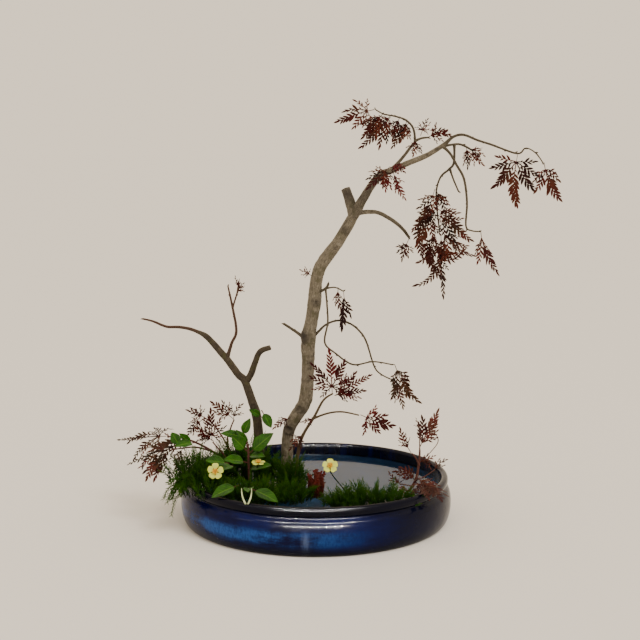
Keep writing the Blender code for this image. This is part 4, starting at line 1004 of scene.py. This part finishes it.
smallLeaves = {  # base, tip, direction faced, half of the fan in degrees, lobes
    "crownLeaflets": ("mapleRed", "maple_leaf", [
        ((0.1, 0.002, 0.552), (0.076, -0.01, 0.527), (0.1, -1.0, 0.2), 75, 7),
        ((0.112, 0.006, 0.549), (0.1, -0.004, 0.522), (0.4, -1.0, 0.1), 60, 7),
        ((0.089, -0.003, 0.554), (0.064, -0.008, 0.524), (-0.3, -1.0, 0.2), 65, 7),
        ((0.122, 0.01, 0.545), (0.114, 0.0, 0.518), (0.2, -1.0, 0.3), 55, 7),
        ((0.133, 0.009, 0.52), (0.134, -0.004, 0.499), (0.3, -1.0, 0.2), 70, 7),
        ((0.151, 0.012, 0.5235), (0.179, 0.004, 0.537), (-0.2, -1.0, 0.3), 60, 7)]),
    "arcLeaflets": ("mapleRed", "maple_leaf", [
        ((0.207, -0.018, 0.506), (0.218, -0.024, 0.486), (0.3, -1.0, 0.3), 70, 7),
        ((0.199, -0.022, 0.51), (0.203, -0.03, 0.484), (-0.2, -1.0, 0.1), 50, 7),
        ((0.205, -0.02, 0.508), (0.223, -0.026, 0.503), (0.2, -1.0, 0.6), 60, 5)]),
    "trunkLeaflets": ("crimson", "maple_leaf", [
        ((0.102, -0.02, 0.478), (0.117, -0.028, 0.442), (0.2, -1.0, 0.2), 32, 5),
        ((0.093, -0.02, 0.479), (0.088, -0.038, 0.453), (0.2, -1.0, 0.4), 60, 7),
        ((0.099, -0.022, 0.484), (0.119, -0.04, 0.484), (0.1, -1.0, 0.7), 65, 7)]),
    "twigLeaflets": ("mapleRed", "maple_leaf", [
        ((0.03, 0.001, 0.319), (0.029, -0.002, 0.29), (0.2, -1.0, 0.1), 40, 5),
        ((-0.008, 0.014, 0.337), (-0.02, 0.008, 0.346), (0.1, -1.0, 0.3), 70, 5),
        ((-0.004, -0.02, 0.144), (-0.019, -0.03, 0.138), (0.1, -1.0, 0.3), 50, 5),
        ((-0.019, -0.014, 0.121), (-0.032, -0.03, 0.102), (0.2, -1.0, 0.3), 60, 7),
        ((-0.037, 0.02, 0.136), (-0.059, 0.006, 0.129), (0.1, -1.0, 0.3), 45, 5),
        ((0.027, -0.03, 0.178), (0.048, -0.046, 0.186), (0.1, -1.0, 0.1), 60, 7)]),
    "cascadeLeaflets": ("mapleRed", "maple_leaf", [
        ((0.163, -0.008, 0.43), (0.134, -0.01, 0.404), (0.3, -1.0, 0.2), 60, 7),
        ((0.164, -0.008, 0.428), (0.19, -0.018, 0.408), (-0.4, -1.0, 0.4), 65, 7),
        ((0.161, -0.012, 0.452), (0.175, -0.022, 0.427), (0.2, -1.0, 0.3), 60, 7),
        ((0.164, -0.014, 0.378), (0.1745, -0.02, 0.31), (0.3, -1.0, 0.1), 22, 3)]),
    "leftLeaflets": ("mapleBronze", "bronze_leaf", [
        ((-0.197, -0.028, 0.102), (-0.236, -0.05, 0.07), (0.1, -0.8, 0.8), 45, 7),
        ((-0.188, 0.026, 0.107), (-0.229, 0.01, 0.09), (0.1, -0.8, 0.7), 55, 7),
        ((-0.182, -0.018, 0.102), (-0.196, -0.03, 0.079), (0.2, -0.9, 0.5), 50, 5)]),
    "farSprigLeaflets": ("mapleRed", "maple_leaf", [
        ((-0.158, 0.034, 0.134), (-0.178, 0.028, 0.148), (0.0, -1.0, 0.2), 65, 7),
        ((-0.143, 0.002, 0.108), (-0.166, -0.01, 0.126), (0.0, -1.0, 0.3), 55, 7),
        ((-0.115, 0.018, 0.136), (-0.109, 0.012, 0.158), (0.1, -1.0, 0.1), 55, 5)]),
    "budLeaflets": ("sprigRed", "bronze_leaf", [
        ((-0.109, 0.054, 0.312), (-0.101, 0.048, 0.326), (0.0, -1.0, 0.2), 40, 5),
        ((-0.109, 0.054, 0.316), (-0.112, 0.05, 0.33), (0.2, -1.0, 0.2), 35, 5),
        ((-0.109, 0.054, 0.31), (-0.1, 0.05, 0.314), (0.0, -1.0, 0.4), 40, 5)]),
    "rightLeaflets": ("sprigRed", "bronze_leaf", [
        ((0.1589, -0.05, 0.0796), (0.172, -0.046, 0.096), (0.0, -1.0, 0.2), 55, 5),
        ((0.112, -0.07, 0.0656), (0.098, -0.076, 0.08), (0.1, -1.0, 0.3), 50, 5),
        ((0.118, -0.068, 0.064), (0.112, -0.088, 0.057), (0.1, -0.8, 0.8), 60, 5),
        ((0.129, -0.068, 0.062), (0.137, -0.108, 0.048), (0.2, -0.8, 0.9), 45, 7),
        ((0.1404, -0.055, 0.1397), (0.133, -0.058, 0.15), (0.0, -1.0, 0.1), 50, 5),
        ((0.146, -0.055, 0.0973), (0.155, -0.06, 0.085), (0.1, -1.0, 0.2), 50, 5),
        ((0.133, -0.061, 0.068), (0.112, -0.07, 0.092), (0.0, -1.0, 0.2), 50, 7),
        ((0.138, -0.058, 0.092), (0.158, -0.062, 0.102), (0.0, -1.0, 0.2), 50, 5),
        ((0.137, -0.074, 0.074), (0.158, -0.098, 0.064), (0.1, -0.8, 0.8), 55, 7),
        ((0.134, -0.062, 0.066), (0.152, -0.08, 0.054), (0.1, -0.9, 0.6), 50, 7)]),
}


def cadPoints(node):
    mesh = frame["nodes"][node].data
    return np.unique(np.round(np.array([v.co for v in mesh.vertices], float), 6), axis=0)


def leafPlan(node):
    # points, base and axes of a flat CAD leaf, read from its own mesh
    points = cadPoints(node)
    middle = points.mean(axis=0)
    face = np.linalg.svd(points - middle)[2][2]
    if face @ np.array([0.0, -1.0, 0.6]) < 0:
        face = -face
    gaps = np.linalg.norm(points[:, None] - points[None], axis=2)
    first, second = np.unravel_index(gaps.argmax(), gaps.shape)
    base, tip = (first, second) if gaps[first].mean() < gaps[second].mean() else (second, first)
    base, tip = points[base], points[tip]
    if node in wideLeaves:
        base, tip = (np.array(place) for place in wideLeaves[node])
        base = base + (tip - base) / np.linalg.norm(tip - base) * 0.0018
    along = tip - base
    along -= face * (along @ face)
    along /= np.linalg.norm(along)
    across = np.cross(face, along)
    return points, base, Vector(along), Vector(across), Vector(face)


def leafLobes(node):
    points, start, along, across, face = leafPlan(node)
    hub = Vector(start) + along * laceLeaf["hub"]
    local = {}
    for point in points:
        offset = Vector(point) - hub
        u, v = offset.dot(along), offset.dot(across)
        reach, angle = math.hypot(u, v), math.atan2(v, u)
        if abs(angle) < 2.7:
            key = round(angle, 2)
            local[key] = max(local.get(key, 0.0), reach)
    longest = max(local.values())
    lobes = []
    for angle, reach in sorted(local.items()):
        if reach > 0.34 * longest and (not lobes or angle - lobes[-1][0] > 0.04):
            lobes.append((angle, reach))
    return Vector(start), hub, along, across, face, lobes


def lacePaths(start, hub, along, across, face, lobes, style, rng):
    # the stalk and one toothed rib for each lobe
    droop, curl, toothScale = style
    stalkStart = start - along * 0.0024
    paths = [{"points": [tuple(stalkStart), tuple((stalkStart + hub) / 2), tuple(hub)],
              "thick": laceLeaf["stalkRadius"], "tone": 0.4, "face": tuple(face)}]
    down = Vector((0.0, 0.0, -1.0))
    fan = max(abs(angle) for angle, reach in lobes)
    folded = max(0.0, 1.0 - fan / 1.2)
    for angle, reach in lobes:
        aim = along * math.cos(angle) + across * math.sin(angle)
        side = face.cross(aim)
        bend = rng.uniform(-0.25, 0.25)
        turn = curl * rng.choice((-1, 1)) * rng.uniform(0.5, 1.2)
        sink = droop * rng.uniform(0.5, 1.5)
        depth = rng.uniform(-1.0, 1.0) * laceLeaf["depth"] * (1.0 + 2.2 * folded)
        roll = rng.uniform(-0.45, 0.45) + folded * rng.choice((-1, 1)) * rng.uniform(0.3, 0.9)
        ribFace = (face + side * roll + aim * rng.uniform(-0.2, 0.2)).normalized()
        tooth = min(laceLeaf["tooth"], laceLeaf["toothShare"] * reach + 0.001)
        tooth = tooth * (1.0 - 0.45 * folded) * toothScale
        steps, point = laceLeaf["steps"], hub.copy()
        points, thick, spread, lean = [tuple(point)], [laceLeaf["ribRadius"]], [0.0], [0.9]
        for step in range(1, steps + 1):
            s = step / steps
            heading = bend * s + 3.0 * turn * s * s
            course = (aim * math.cos(heading) + side * math.sin(heading) + down * sink * 2.0 * s
                      + face * depth)
            point = point + course.normalized() * (reach * 0.93 / steps)
            points.append(tuple(point))
            thick.append(laceLeaf["ribRadius"] * (1.0 - 0.75 * s))
            grow = min(max((s - 0.1) / 0.28, 0.0), 1.0) * (1.0 - 0.4 * max(s - 0.5, 0.0) / 0.5)
            spread.append(tooth * grow)
            lean.append(math.radians(50 - 22 * s))
        spread[-1], lean[-1] = tooth * 0.85, 0.0
        paths.append({"points": points, "thick": thick, "spread": spread, "lean": lean,
                      "tone": rng.uniform(0.0, 1.0), "face": tuple(ribFace)})
    return paths


def smallLeafPaths(base, tip, facing, fan, count, rng):
    base, tip = Vector(base), Vector(tip)
    along = (tip - base).normalized()
    face = (Vector(facing) - along * Vector(facing).dot(along)).normalized()
    across = face.cross(along)
    length = (tip - base).length
    hub = base + along * 0.16 * length
    lobes = []
    for lobe in range(count):
        share = 2.0 * lobe / (count - 1) - 1.0
        lobes.append((math.radians(fan) * share, 0.84 * length * (1.0 - 0.55 * abs(share) ** 0.8)))
    return lacePaths(base, hub, along, across, face, lobes, (laceLeaf["droop"], 0.15, 1.15), rng)


def grownLeaf(name, paths, trees, leaflet, skin, seed):
    return grown(name, pathObject("guide", paths), trees["frond"],
                 {**frondHabit["lace"], "Leaflet": leaflet, "Seed": seed, "Skin": skin})


def makeMapleLeaf(node, trees, leaflets, skin, slot, seed):
    rng = random.Random(seed)
    start, hub, along, across, face, lobes = leafLobes(node)
    style = leafStyles.get(node, (laceLeaf["droop"], 0.1, 1.0))
    paths = lacePaths(start, hub, along, across, face, lobes, style, rng)
    return finishPiece(grownLeaf(pieceName(node), paths, trees, leaflets["lace"], skin, seed), slot, node)


def makeSmallLeaves(name, skin, slot, leaves, trees, leaflets, seed):
    rng = random.Random(seed)
    paths = [path for leaf in leaves for path in smallLeafPaths(*leaf, rng)]
    return finishPiece(grownLeaf(name, paths, trees, leaflets["lace"], skin, seed), slot)


# broad green leaves
broadLeaf = {"rows": 14, "columns": 8, "thickness": 0.0004, "fold": 0.28, "droop": 0.1, "teeth": 12,
             "stalk": 0.004, "seed": 17}


def bladeMesh(name, rows, columns, place, material, thickness):
    # a grid of place(along, across) with its own UV map, made solid
    mesh = bpy.data.meshes.new(name)
    points, faces, uvs = [], [], []
    for row in range(rows + 1):
        for column in range(columns + 1):
            along, across = row / rows, 2.0 * column / columns - 1.0
            points.append(tuple(place(along, across)))
            uvs.append((along, across))
    wide = columns + 1
    for row in range(rows):
        for column in range(columns):
            k = row * wide + column
            faces.append((k, k + 1, k + 1 + wide, k + wide))
    mesh.from_pydata(points, [], faces)
    layer = mesh.uv_layers.new(name="blade")
    for loop in mesh.loops:
        layer.data[loop.index].uv = uvs[loop.vertex_index]
    mesh.materials.append(material)
    mesh.shade_smooth()
    piece = linkObject(name, mesh)
    solid = piece.modifiers.new("thickness", "SOLIDIFY")
    solid.thickness = thickness
    solid.offset = 0.0
    return settle(piece)


def broadLeafParts(name, start, along, across, face, length, half, trees, material, stalkBark, rng):
    droop = broadLeaf["droop"] * rng.uniform(0.6, 2.2)
    twist = rng.uniform(-0.25, 0.25)
    stalk = broadLeaf["stalk"]

    def place(u, v):
        width = half * (max(math.sin(math.pi * u ** 0.8), 0.0) ** 0.85 + 0.03 * (1 - u))
        tooth = 1.0 + 0.05 * ((u * broadLeaf["teeth"]) % 1.0) * abs(v) if 0.08 < u < 0.94 else 1.0
        lifted = broadLeaf["fold"] * abs(v) ** 1.3 * width - droop * length * u * u
        wave = 0.05 * width * math.sin(u * 17.0 + 2.0 * v) * abs(v)
        return (start + along * (stalk + (length - stalk) * u) + across * v * width * tooth
                + face * (lifted + wave + twist * v * width * u))

    blade = bladeMesh(f"{name}Blade", broadLeaf["rows"], broadLeaf["columns"], place, material,
                      broadLeaf["thickness"])
    stalkPoints = (start - along * 0.002, start + along * 0.002, place(0.04, 0.0))
    stalkPath = {"points": [tuple(point) for point in stalkPoints], "thick": [0.0008, 0.0007, 0.0005]}
    return [blade, grownWood(f"{name}Stalk", [stalkPath], trees, "leafStalk", stalkBark)]


def makeBroadLeaf(node, trees, material, stalkBark, seed):
    points, start, along, across, face = leafPlan(node)
    start = Vector(start)
    length = max((Vector(point) - start).dot(along) for point in points)
    half = max(abs((Vector(point) - start).dot(across)) for point in points)
    parts = broadLeafParts(pieceName(node), start, along, across, face, length, half, trees, material,
                           stalkBark, random.Random(seed))
    return finishPiece(joined(pieceName(node), parts), "green_leaf", node)


moreBroadLeaves = [  # base, tip, direction faced, width
    ((-0.0915, -0.041, 0.096), (-0.07, -0.06, 0.104), (0.2, -0.7, 0.9), 0.013),
    ((-0.092, -0.04, 0.112), (-0.106, -0.046, 0.133), (0.3, -1.0, 0.2), 0.011),
    ((-0.099, -0.037, 0.124), (-0.09, -0.046, 0.148), (-0.2, -1.0, 0.2), 0.012),
    ((-0.098, -0.037, 0.122), (-0.125, -0.052, 0.133), (0.1, -0.8, 0.8), 0.012),
    ((-0.09, -0.046, 0.08), (-0.06, -0.072, 0.093), (0.0, -0.7, 1.0), 0.015),
    ((-0.112, -0.06, 0.088), (-0.12, -0.088, 0.094), (0.1, -0.7, 1.0), 0.012),
    ((-0.076, 0.03, 0.135), (-0.092, 0.02, 0.148), (0.2, -1.0, 0.4), 0.01),
    ((-0.086, -0.122, 0.074), (-0.086, -0.15, 0.082), (0.0, -0.6, 1.0), 0.013),
    ((-0.172, -0.004, 0.104), (-0.185, -0.018, 0.122), (0.2, -1.0, 0.5), 0.011),
]


def makeMoreBroadLeaves(trees, material, stalkBark):
    rng, parts = random.Random(broadLeaf["seed"]), []
    for order, (base, tip, facing, width) in enumerate(moreBroadLeaves):
        base, tip = Vector(base), Vector(tip)
        along = (tip - base).normalized()
        face = (Vector(facing) - along * Vector(facing).dot(along)).normalized()
        parts += broadLeafParts(f"shootLeaf{order}", base, along, face.cross(along), face,
                                (tip - base).length, width / 2, trees, material, stalkBark, rng)
    return finishPiece(joined("shootLeaflets", parts), "green_leaf")


# flowers
flower = {"petals": 5, "rows": 10, "columns": 8, "cup": 0.2, "stamens": 26, "thickness": 0.0003,
          "stamenRadius": 0.00018, "anther": 0.0015, "goldenAngle": 2.39996, "sepals": 5,
          "sepalRadius": 0.0002}
flowerStems = {
    "flower_1": [(-0.088, -0.014, stemFoot, 0.0009), (-0.107, -0.05, 0.055, 0.0009),
                 (-0.124, -0.074, 0.08, 0.0008), (-0.131, -0.085, 0.086, 0.0008)],
    "flower_2": [(0.064, -0.066, stemFoot, 0.0009), (0.046, -0.058, 0.045, 0.0009),
                 (0.024, -0.05, 0.07, 0.0008), (0.0185, -0.0515, 0.081, 0.0008)],
    "flower_3": [(-0.068, -0.026, stemFoot, 0.0009), (-0.074, -0.046, 0.055, 0.0009),
                 (-0.079, -0.054, 0.076, 0.0008), (-0.0785, -0.0565, 0.086, 0.0008)],
}


def makeFlower(key, trees, leaflets, petalSkin, goldSkin, greenSkin, seed):
    rng = random.Random(seed)
    node = f"{key}_petals"
    points = cadPoints(node)
    centre = points.mean(axis=0)
    face = np.linalg.svd(points - centre)[2][2]
    if face @ np.array([0.0, -1.0, 0.9]) < 0:
        face = -face
    radius = np.linalg.norm(points - centre, axis=1).max()
    centre, face = Vector(centre), Vector(face)
    right = Vector((0.0, 0.0, 1.0)).cross(face).normalized()
    up = face.cross(right)
    parts = []
    for petal in range(flower["petals"]):
        middle = 2 * math.pi * petal / flower["petals"] + math.pi / 2 + rng.uniform(-0.08, 0.08)
        lift = rng.uniform(0.8, 1.2)
        tilt = rng.uniform(-0.1, 0.1)

        def place(u, v):
            reach = radius * (0.1 + 0.9 * u) * (1.0 - 0.07 * (1 - abs(v)) ** 3 * u ** 4)
            half = 0.62 * (0.3 + 0.7 * math.sin(math.pi * min(u * 0.62 + 0.06, 1.0)))
            corner = 1.0 - 0.24 * abs(v) ** 3 * u
            angle = middle + v * half
            height = radius * (flower["cup"] * lift * u * u - 0.1 * u ** 5 + tilt * v * u + 0.03)
            return (centre + (right * math.cos(angle) + up * math.sin(angle)) * reach * corner
                    + face * height)

        parts.append(bladeMesh(f"petal{petal}", flower["rows"], flower["columns"], place, petalSkin,
                               flower["thickness"]))
    stamenPaths = []
    for stamen in range(flower["stamens"]):
        angle = stamen * flower["goldenAngle"]
        out = 0.2 * radius * math.sqrt(stamen / flower["stamens"])
        foot = centre + face * radius * 0.02
        tip = (centre + (right * math.cos(angle) + up * math.sin(angle)) * out * 1.5
               + face * radius * rng.uniform(0.2, 0.3))
        stamenPaths.append({"points": [tuple(foot), tuple((foot + tip) / 2), tuple(tip)],
                            "thick": flower["stamenRadius"], "spread": [0.0, 0.0, flower["anther"]],
                            "lean": 0.0, "tone": 0.8})
    parts.append(grown("stamens", pathObject("guide", stamenPaths), trees["frond"],
                       {**frondHabit["stamens"], "Leaflet": leaflets["bead"], "Seed": seed,
                        "Skin": goldSkin}))
    head = joined(pieceName(node), parts)
    finishPiece(head, "petal", node)
    route = flowerStems[key] + [(*(centre - face * 0.0006), 0.0008)]
    stem = grownWood("stem", [stemPath(route, 0.3)], trees, "flowerStem", greenSkin)
    sepalPaths = []
    for sepal in range(flower["sepals"]):
        angle = 2 * math.pi * (sepal + 0.5) / flower["sepals"] + math.pi / 2
        out = right * math.cos(angle) + up * math.sin(angle)
        foot = centre - face * 0.001
        tip = foot + out * radius * 0.25 - face * 0.0004
        sepalPaths.append({"points": [tuple(foot), tuple(tip)], "thick": flower["sepalRadius"],
                           "spread": [0.0, radius * 0.45], "lean": 0.0, "tone": 0.5, "face": tuple(face)})
    sepals = grown("sepals", pathObject("guide", sepalPaths), trees["frond"],
                   {**frondHabit["sepals"], "Leaflet": leaflets["lance"], "Seed": seed, "Skin": greenSkin})
    return finishPiece(joined(f"{pieceName(key)}Stem", [stem, sepals]), "green_stem", f"{key}_stem")


# clubmoss, tuft and grass
clubmoss = {
    "needle": 0.0062, "lean": 0.66, "stemRadius": 0.00055, "steps": 8, "trailStrands": 26,
    "face": (0.3, -1.0, 0.2),
    "trail": [(-0.156, -0.066, 0.076), (-0.172, -0.082, 0.0745), (-0.184, -0.093, 0.066),
              (-0.189, -0.098, 0.05)],
}
mossMounds = {  # centre, radii, foot, top, shoots
    "moss_left": [((-0.162, -0.036), (0.046, 0.052), 0.066, 0.118, 120),
                  ((-0.14, -0.088), (0.04, 0.032), 0.058, 0.096, 70)],
    "moss_back": [((-0.1, 0.016), (0.058, 0.036), 0.052, 0.128, 130),
                  ((-0.034, -0.018), (0.024, 0.026), 0.052, 0.108, 60)],
    "moss_front": [((-0.086, -0.094), (0.056, 0.044), 0.05, 0.094, 120),
                   ((-0.034, -0.084), (0.034, 0.036), 0.05, 0.088, 70)],
    "moss_right": [((0.075, -0.112), (0.066, 0.03), 0.048, 0.092, 150),
                   ((0.03, -0.112), (0.026, 0.024), 0.048, 0.082, 50)],
}
tuft = {"shoots": 90, "bead": 0.0024, "stemRadius": 0.0005, "lean": 0.7, "steps": 6, "seed": 71,
        "beadSeed": 9}
grassBlade = {"halfWidth": 0.0011, "bow": 0.0015, "crease": 0.0004, "rows": 12, "columns": 4,
              "thickness": 0.0003}


def mossPaths(node, rng):
    # shoots rise from the foot of each mound and lean outwards to its dome
    paths = []
    for (x, y), (wide, deep), foot, top, shoots in mossMounds[node]:
        for shoot in range(shoots):
            angle, out = rng.uniform(0, 2 * math.pi), math.sqrt(rng.random())
            dome = math.sqrt(1.0 - 0.8 * out * out)
            start = Vector((x + wide * out * 0.85 * math.cos(angle), y + deep * out * 0.85 * math.sin(angle),
                            foot - 0.004))
            rise = (top - foot) * dome * rng.uniform(0.62, 1.1)
            lean = Vector((math.cos(angle), math.sin(angle), 0.0)) * rng.uniform(0.1, 0.9) * out
            lean += Vector((rng.uniform(-0.35, 0.35), rng.uniform(-0.35, 0.35), 0.0))
            vigour = rng.uniform(0.8, 1.0)
            points, spread, tone, thick = [], [], [], []
            for step in range(clubmoss["steps"] + 1):
                s = step / clubmoss["steps"]
                point = start + Vector((0.0, 0.0, 1.0)) * rise * (s - 0.25 * s * s * out)
                points.append(tuple(point + lean * (rise + 0.01) * 0.45 * s * s))
                spread.append(clubmoss["needle"] * (0.8 + 0.35 * math.sin(math.pi * s) - 0.5 * s ** 4))
                tone.append(s * vigour)
                thick.append(clubmoss["stemRadius"] * (1.1 - 0.6 * s))
            paths.append({"points": points, "spread": spread, "tone": tone, "thick": thick,
                          "lean": [clubmoss["lean"]] * clubmoss["steps"] + [0.15],
                          "face": clubmoss["face"]})
    strands = clubmoss["trailStrands"] if node == "moss_left" else 0
    for strand in range(strands):
        shift = [rng.uniform(-0.012, 0.012) for axis in range(3)]
        points = smoothRoute([tuple(c + d * (0.4 + 0.3 * k) for c, d in zip(point, shift))
                              for k, point in enumerate(clubmoss["trail"])], 3)
        points = points[:rng.randint(5, len(points))]
        paths.append({"points": points, "spread": clubmoss["needle"] * 0.95,
                      "tone": [k / len(points) for k in range(len(points))], "thick": clubmoss["stemRadius"],
                      "lean": clubmoss["lean"], "face": clubmoss["face"]})
    return paths


def makeMoss(node, trees, leaflets, skin, seed):
    rng = random.Random(seed)
    piece = grown(pieceName(node), pathObject("guide", mossPaths(node, rng)), trees["frond"],
                  {**frondHabit["clubmoss"], "Leaflet": leaflets["needle"], "Seed": seed, "Skin": skin})
    return finishPiece(piece, "moss", node)


def makeTuft(trees, leaflets, skin):
    rng, steps = random.Random(tuft["seed"]), tuft["steps"]
    low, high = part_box("red_tuft")
    centre, radius, top = (low + high) / 2, (high.x - low.x) / 2, high.z - low.z
    paths = []
    for shoot in range(tuft["shoots"]):
        angle, out = rng.uniform(0, 2 * math.pi), math.sqrt(rng.random())
        foot = Vector((centre.x + radius * 0.85 * out * math.cos(angle),
                       centre.y + radius * 0.85 * out * math.sin(angle), low.z - 0.002))
        rise = top * math.sqrt(1.0 - 0.75 * out * out) * rng.uniform(0.5, 1.05)
        sway = Vector((rng.uniform(-0.2, 0.2), rng.uniform(-0.2, 0.2), 0.0))
        tone = [k / steps for k in range(steps + 1)]
        points = [tuple(foot + (Vector((0.0, 0.0, 1.0)) + sway * s) * rise * s) for s in tone]
        spread = [tuft["bead"] * (0.7 + 0.5 * k / steps) for k in range(steps + 1)]
        paths.append({"points": points, "spread": spread, "tone": tone, "thick": tuft["stemRadius"],
                      "lean": tuft["lean"], "face": (0.2, -1.0, 0.1)})
    piece = grown("redTuft", pathObject("guide", paths), trees["frond"],
                  {**frondHabit["tuft"], "Leaflet": leaflets["bead"], "Seed": tuft["beadSeed"],
                   "Skin": skin})
    return finishPiece(piece, "tuft", "red_tuft")


def makeGrass(skin):
    low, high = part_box("grass")
    middle = (low + high) / 2
    blades = []
    for side in (-1, 1):
        tip = Vector((middle.x + side * (high.x - low.x) / 2, middle.y - 0.001, high.z))
        foot = Vector((middle.x + side * 0.0015, middle.y, low.z - 0.002))

        def place(u, v):
            width = grassBlade["halfWidth"] * (1.0 - 0.85 * u ** 2)
            bend = Vector((side * grassBlade["bow"] * math.sin(math.pi * u), 0.0, 0.0))
            return foot + (tip - foot) * u + bend + Vector((v * width, grassBlade["crease"] * abs(v), 0.0))

        blades.append(bladeMesh(f"blade{side}", grassBlade["rows"], grassBlade["columns"], place, skin,
                                grassBlade["thickness"]))
    return finishPiece(joined("grassBlades", blades), "grass", "grass")


# put it all together
addRoom()
print("stage 1: camera, lights and floor")

skins = {name: makeBark(name) for name in barkLook}
skins.update({name: makeLeafMaterial(name) for name in leafLook})
skins["glaze"] = makeGlaze()
skins["water"] = makeWater()
skins["moss"] = makeMossMaterial("clubmossGreen", mossLook)
skins["tuft"] = makeMossMaterial("tuftRed", tuftLook)
skins["broad"] = makeBroadMaterial()
skins["petal"] = makePetalMaterial()
skins.update({key: makeSpeckled(*look) for key, look in speckledLook.items()})
print("stage 2: materials")

trees = {"stem": makeStemTree(), "frond": makeFrondTree(), "pin": makePinTree()}
leaflets = {key: leafletObject(*shape) for key, shape in leafletShapes.items()}
print("stage 3: growing trees")

makeBowl(skins["glaze"])
makeWaterPiece(skins["water"])
for holder in ("large_kenzan", "small_kenzan"):
    makePinHolder(holder, trees["pin"], skins["lead"], skins["brass"])
print("stage 4: bowl, water and pin holders")

makeBranch("main_branch", mainBranch, trees, leaflets, skins["greyBark"], skins["endWood"], "grey_bark")
makeBranch("side_branch", sideBranch, trees, leaflets, skins["brownBark"], skins["endWood"], "brown_bark")
for node, (bark, slot, stem, limbs) in sprigs.items():
    paths = [stemPath(stem, 0.0)] + [stemPath(points, 0.2 + 0.2 * k, True) for k, points in enumerate(limbs)]
    finishPiece(grownWood(pieceName(node), paths, trees, "sprig", skins[bark]), slot, node)
print("stage 5: branches and sprigs")

seeds = {"maple": 100, "small": 150, "broad": 200, "flower": 300, "moss": 400}
slots = {row["node"]: row["material_slot"] for row in frame["record"]["subparts"]}
leafSkins = {"maple_leaf": "mapleRed", "bronze_leaf": "mapleBronze"}
mapleNodes = sorted(node for node, slot in slots.items() if slot in leafSkins)
for order, node in enumerate(mapleNodes):
    skin = "sprigRed" if node.startswith("right_leaf") else leafSkins[slots[node]]
    skin = "crimson" if node.startswith("centre_leaf") else skin
    makeMapleLeaf(node, trees, leaflets, skins[skin], slots[node], seeds["maple"] + order)
for order, (name, (skin, slot, leaves)) in enumerate(smallLeaves.items()):
    makeSmallLeaves(name, skins[skin], slot, leaves, trees, leaflets, seeds["small"] + order)
for order, node in enumerate(sorted(node for node in slots if node.startswith("broad_leaf"))):
    makeBroadLeaf(node, trees, skins["broad"], skins["youngRed"], seeds["broad"] + order)
makeMoreBroadLeaves(trees, skins["broad"], skins["youngRed"])
for order, key in enumerate(flowerStems):
    makeFlower(key, trees, leaflets, skins["petal"], skins["gold"], skins["moss"], seeds["flower"] + order)
print("stage 6: leaves and flowers")

for order, node in enumerate(mossMounds):
    makeMoss(node, trees, leaflets, skins["moss"], seeds["moss"] + order)
makeTuft(trees, leaflets, skins["tuft"])
makeGrass(skins["grass"])
for leaflet in leaflets.values():
    bpy.data.objects.remove(leaflet)
print("stage 7: clubmoss, tuft and grass")
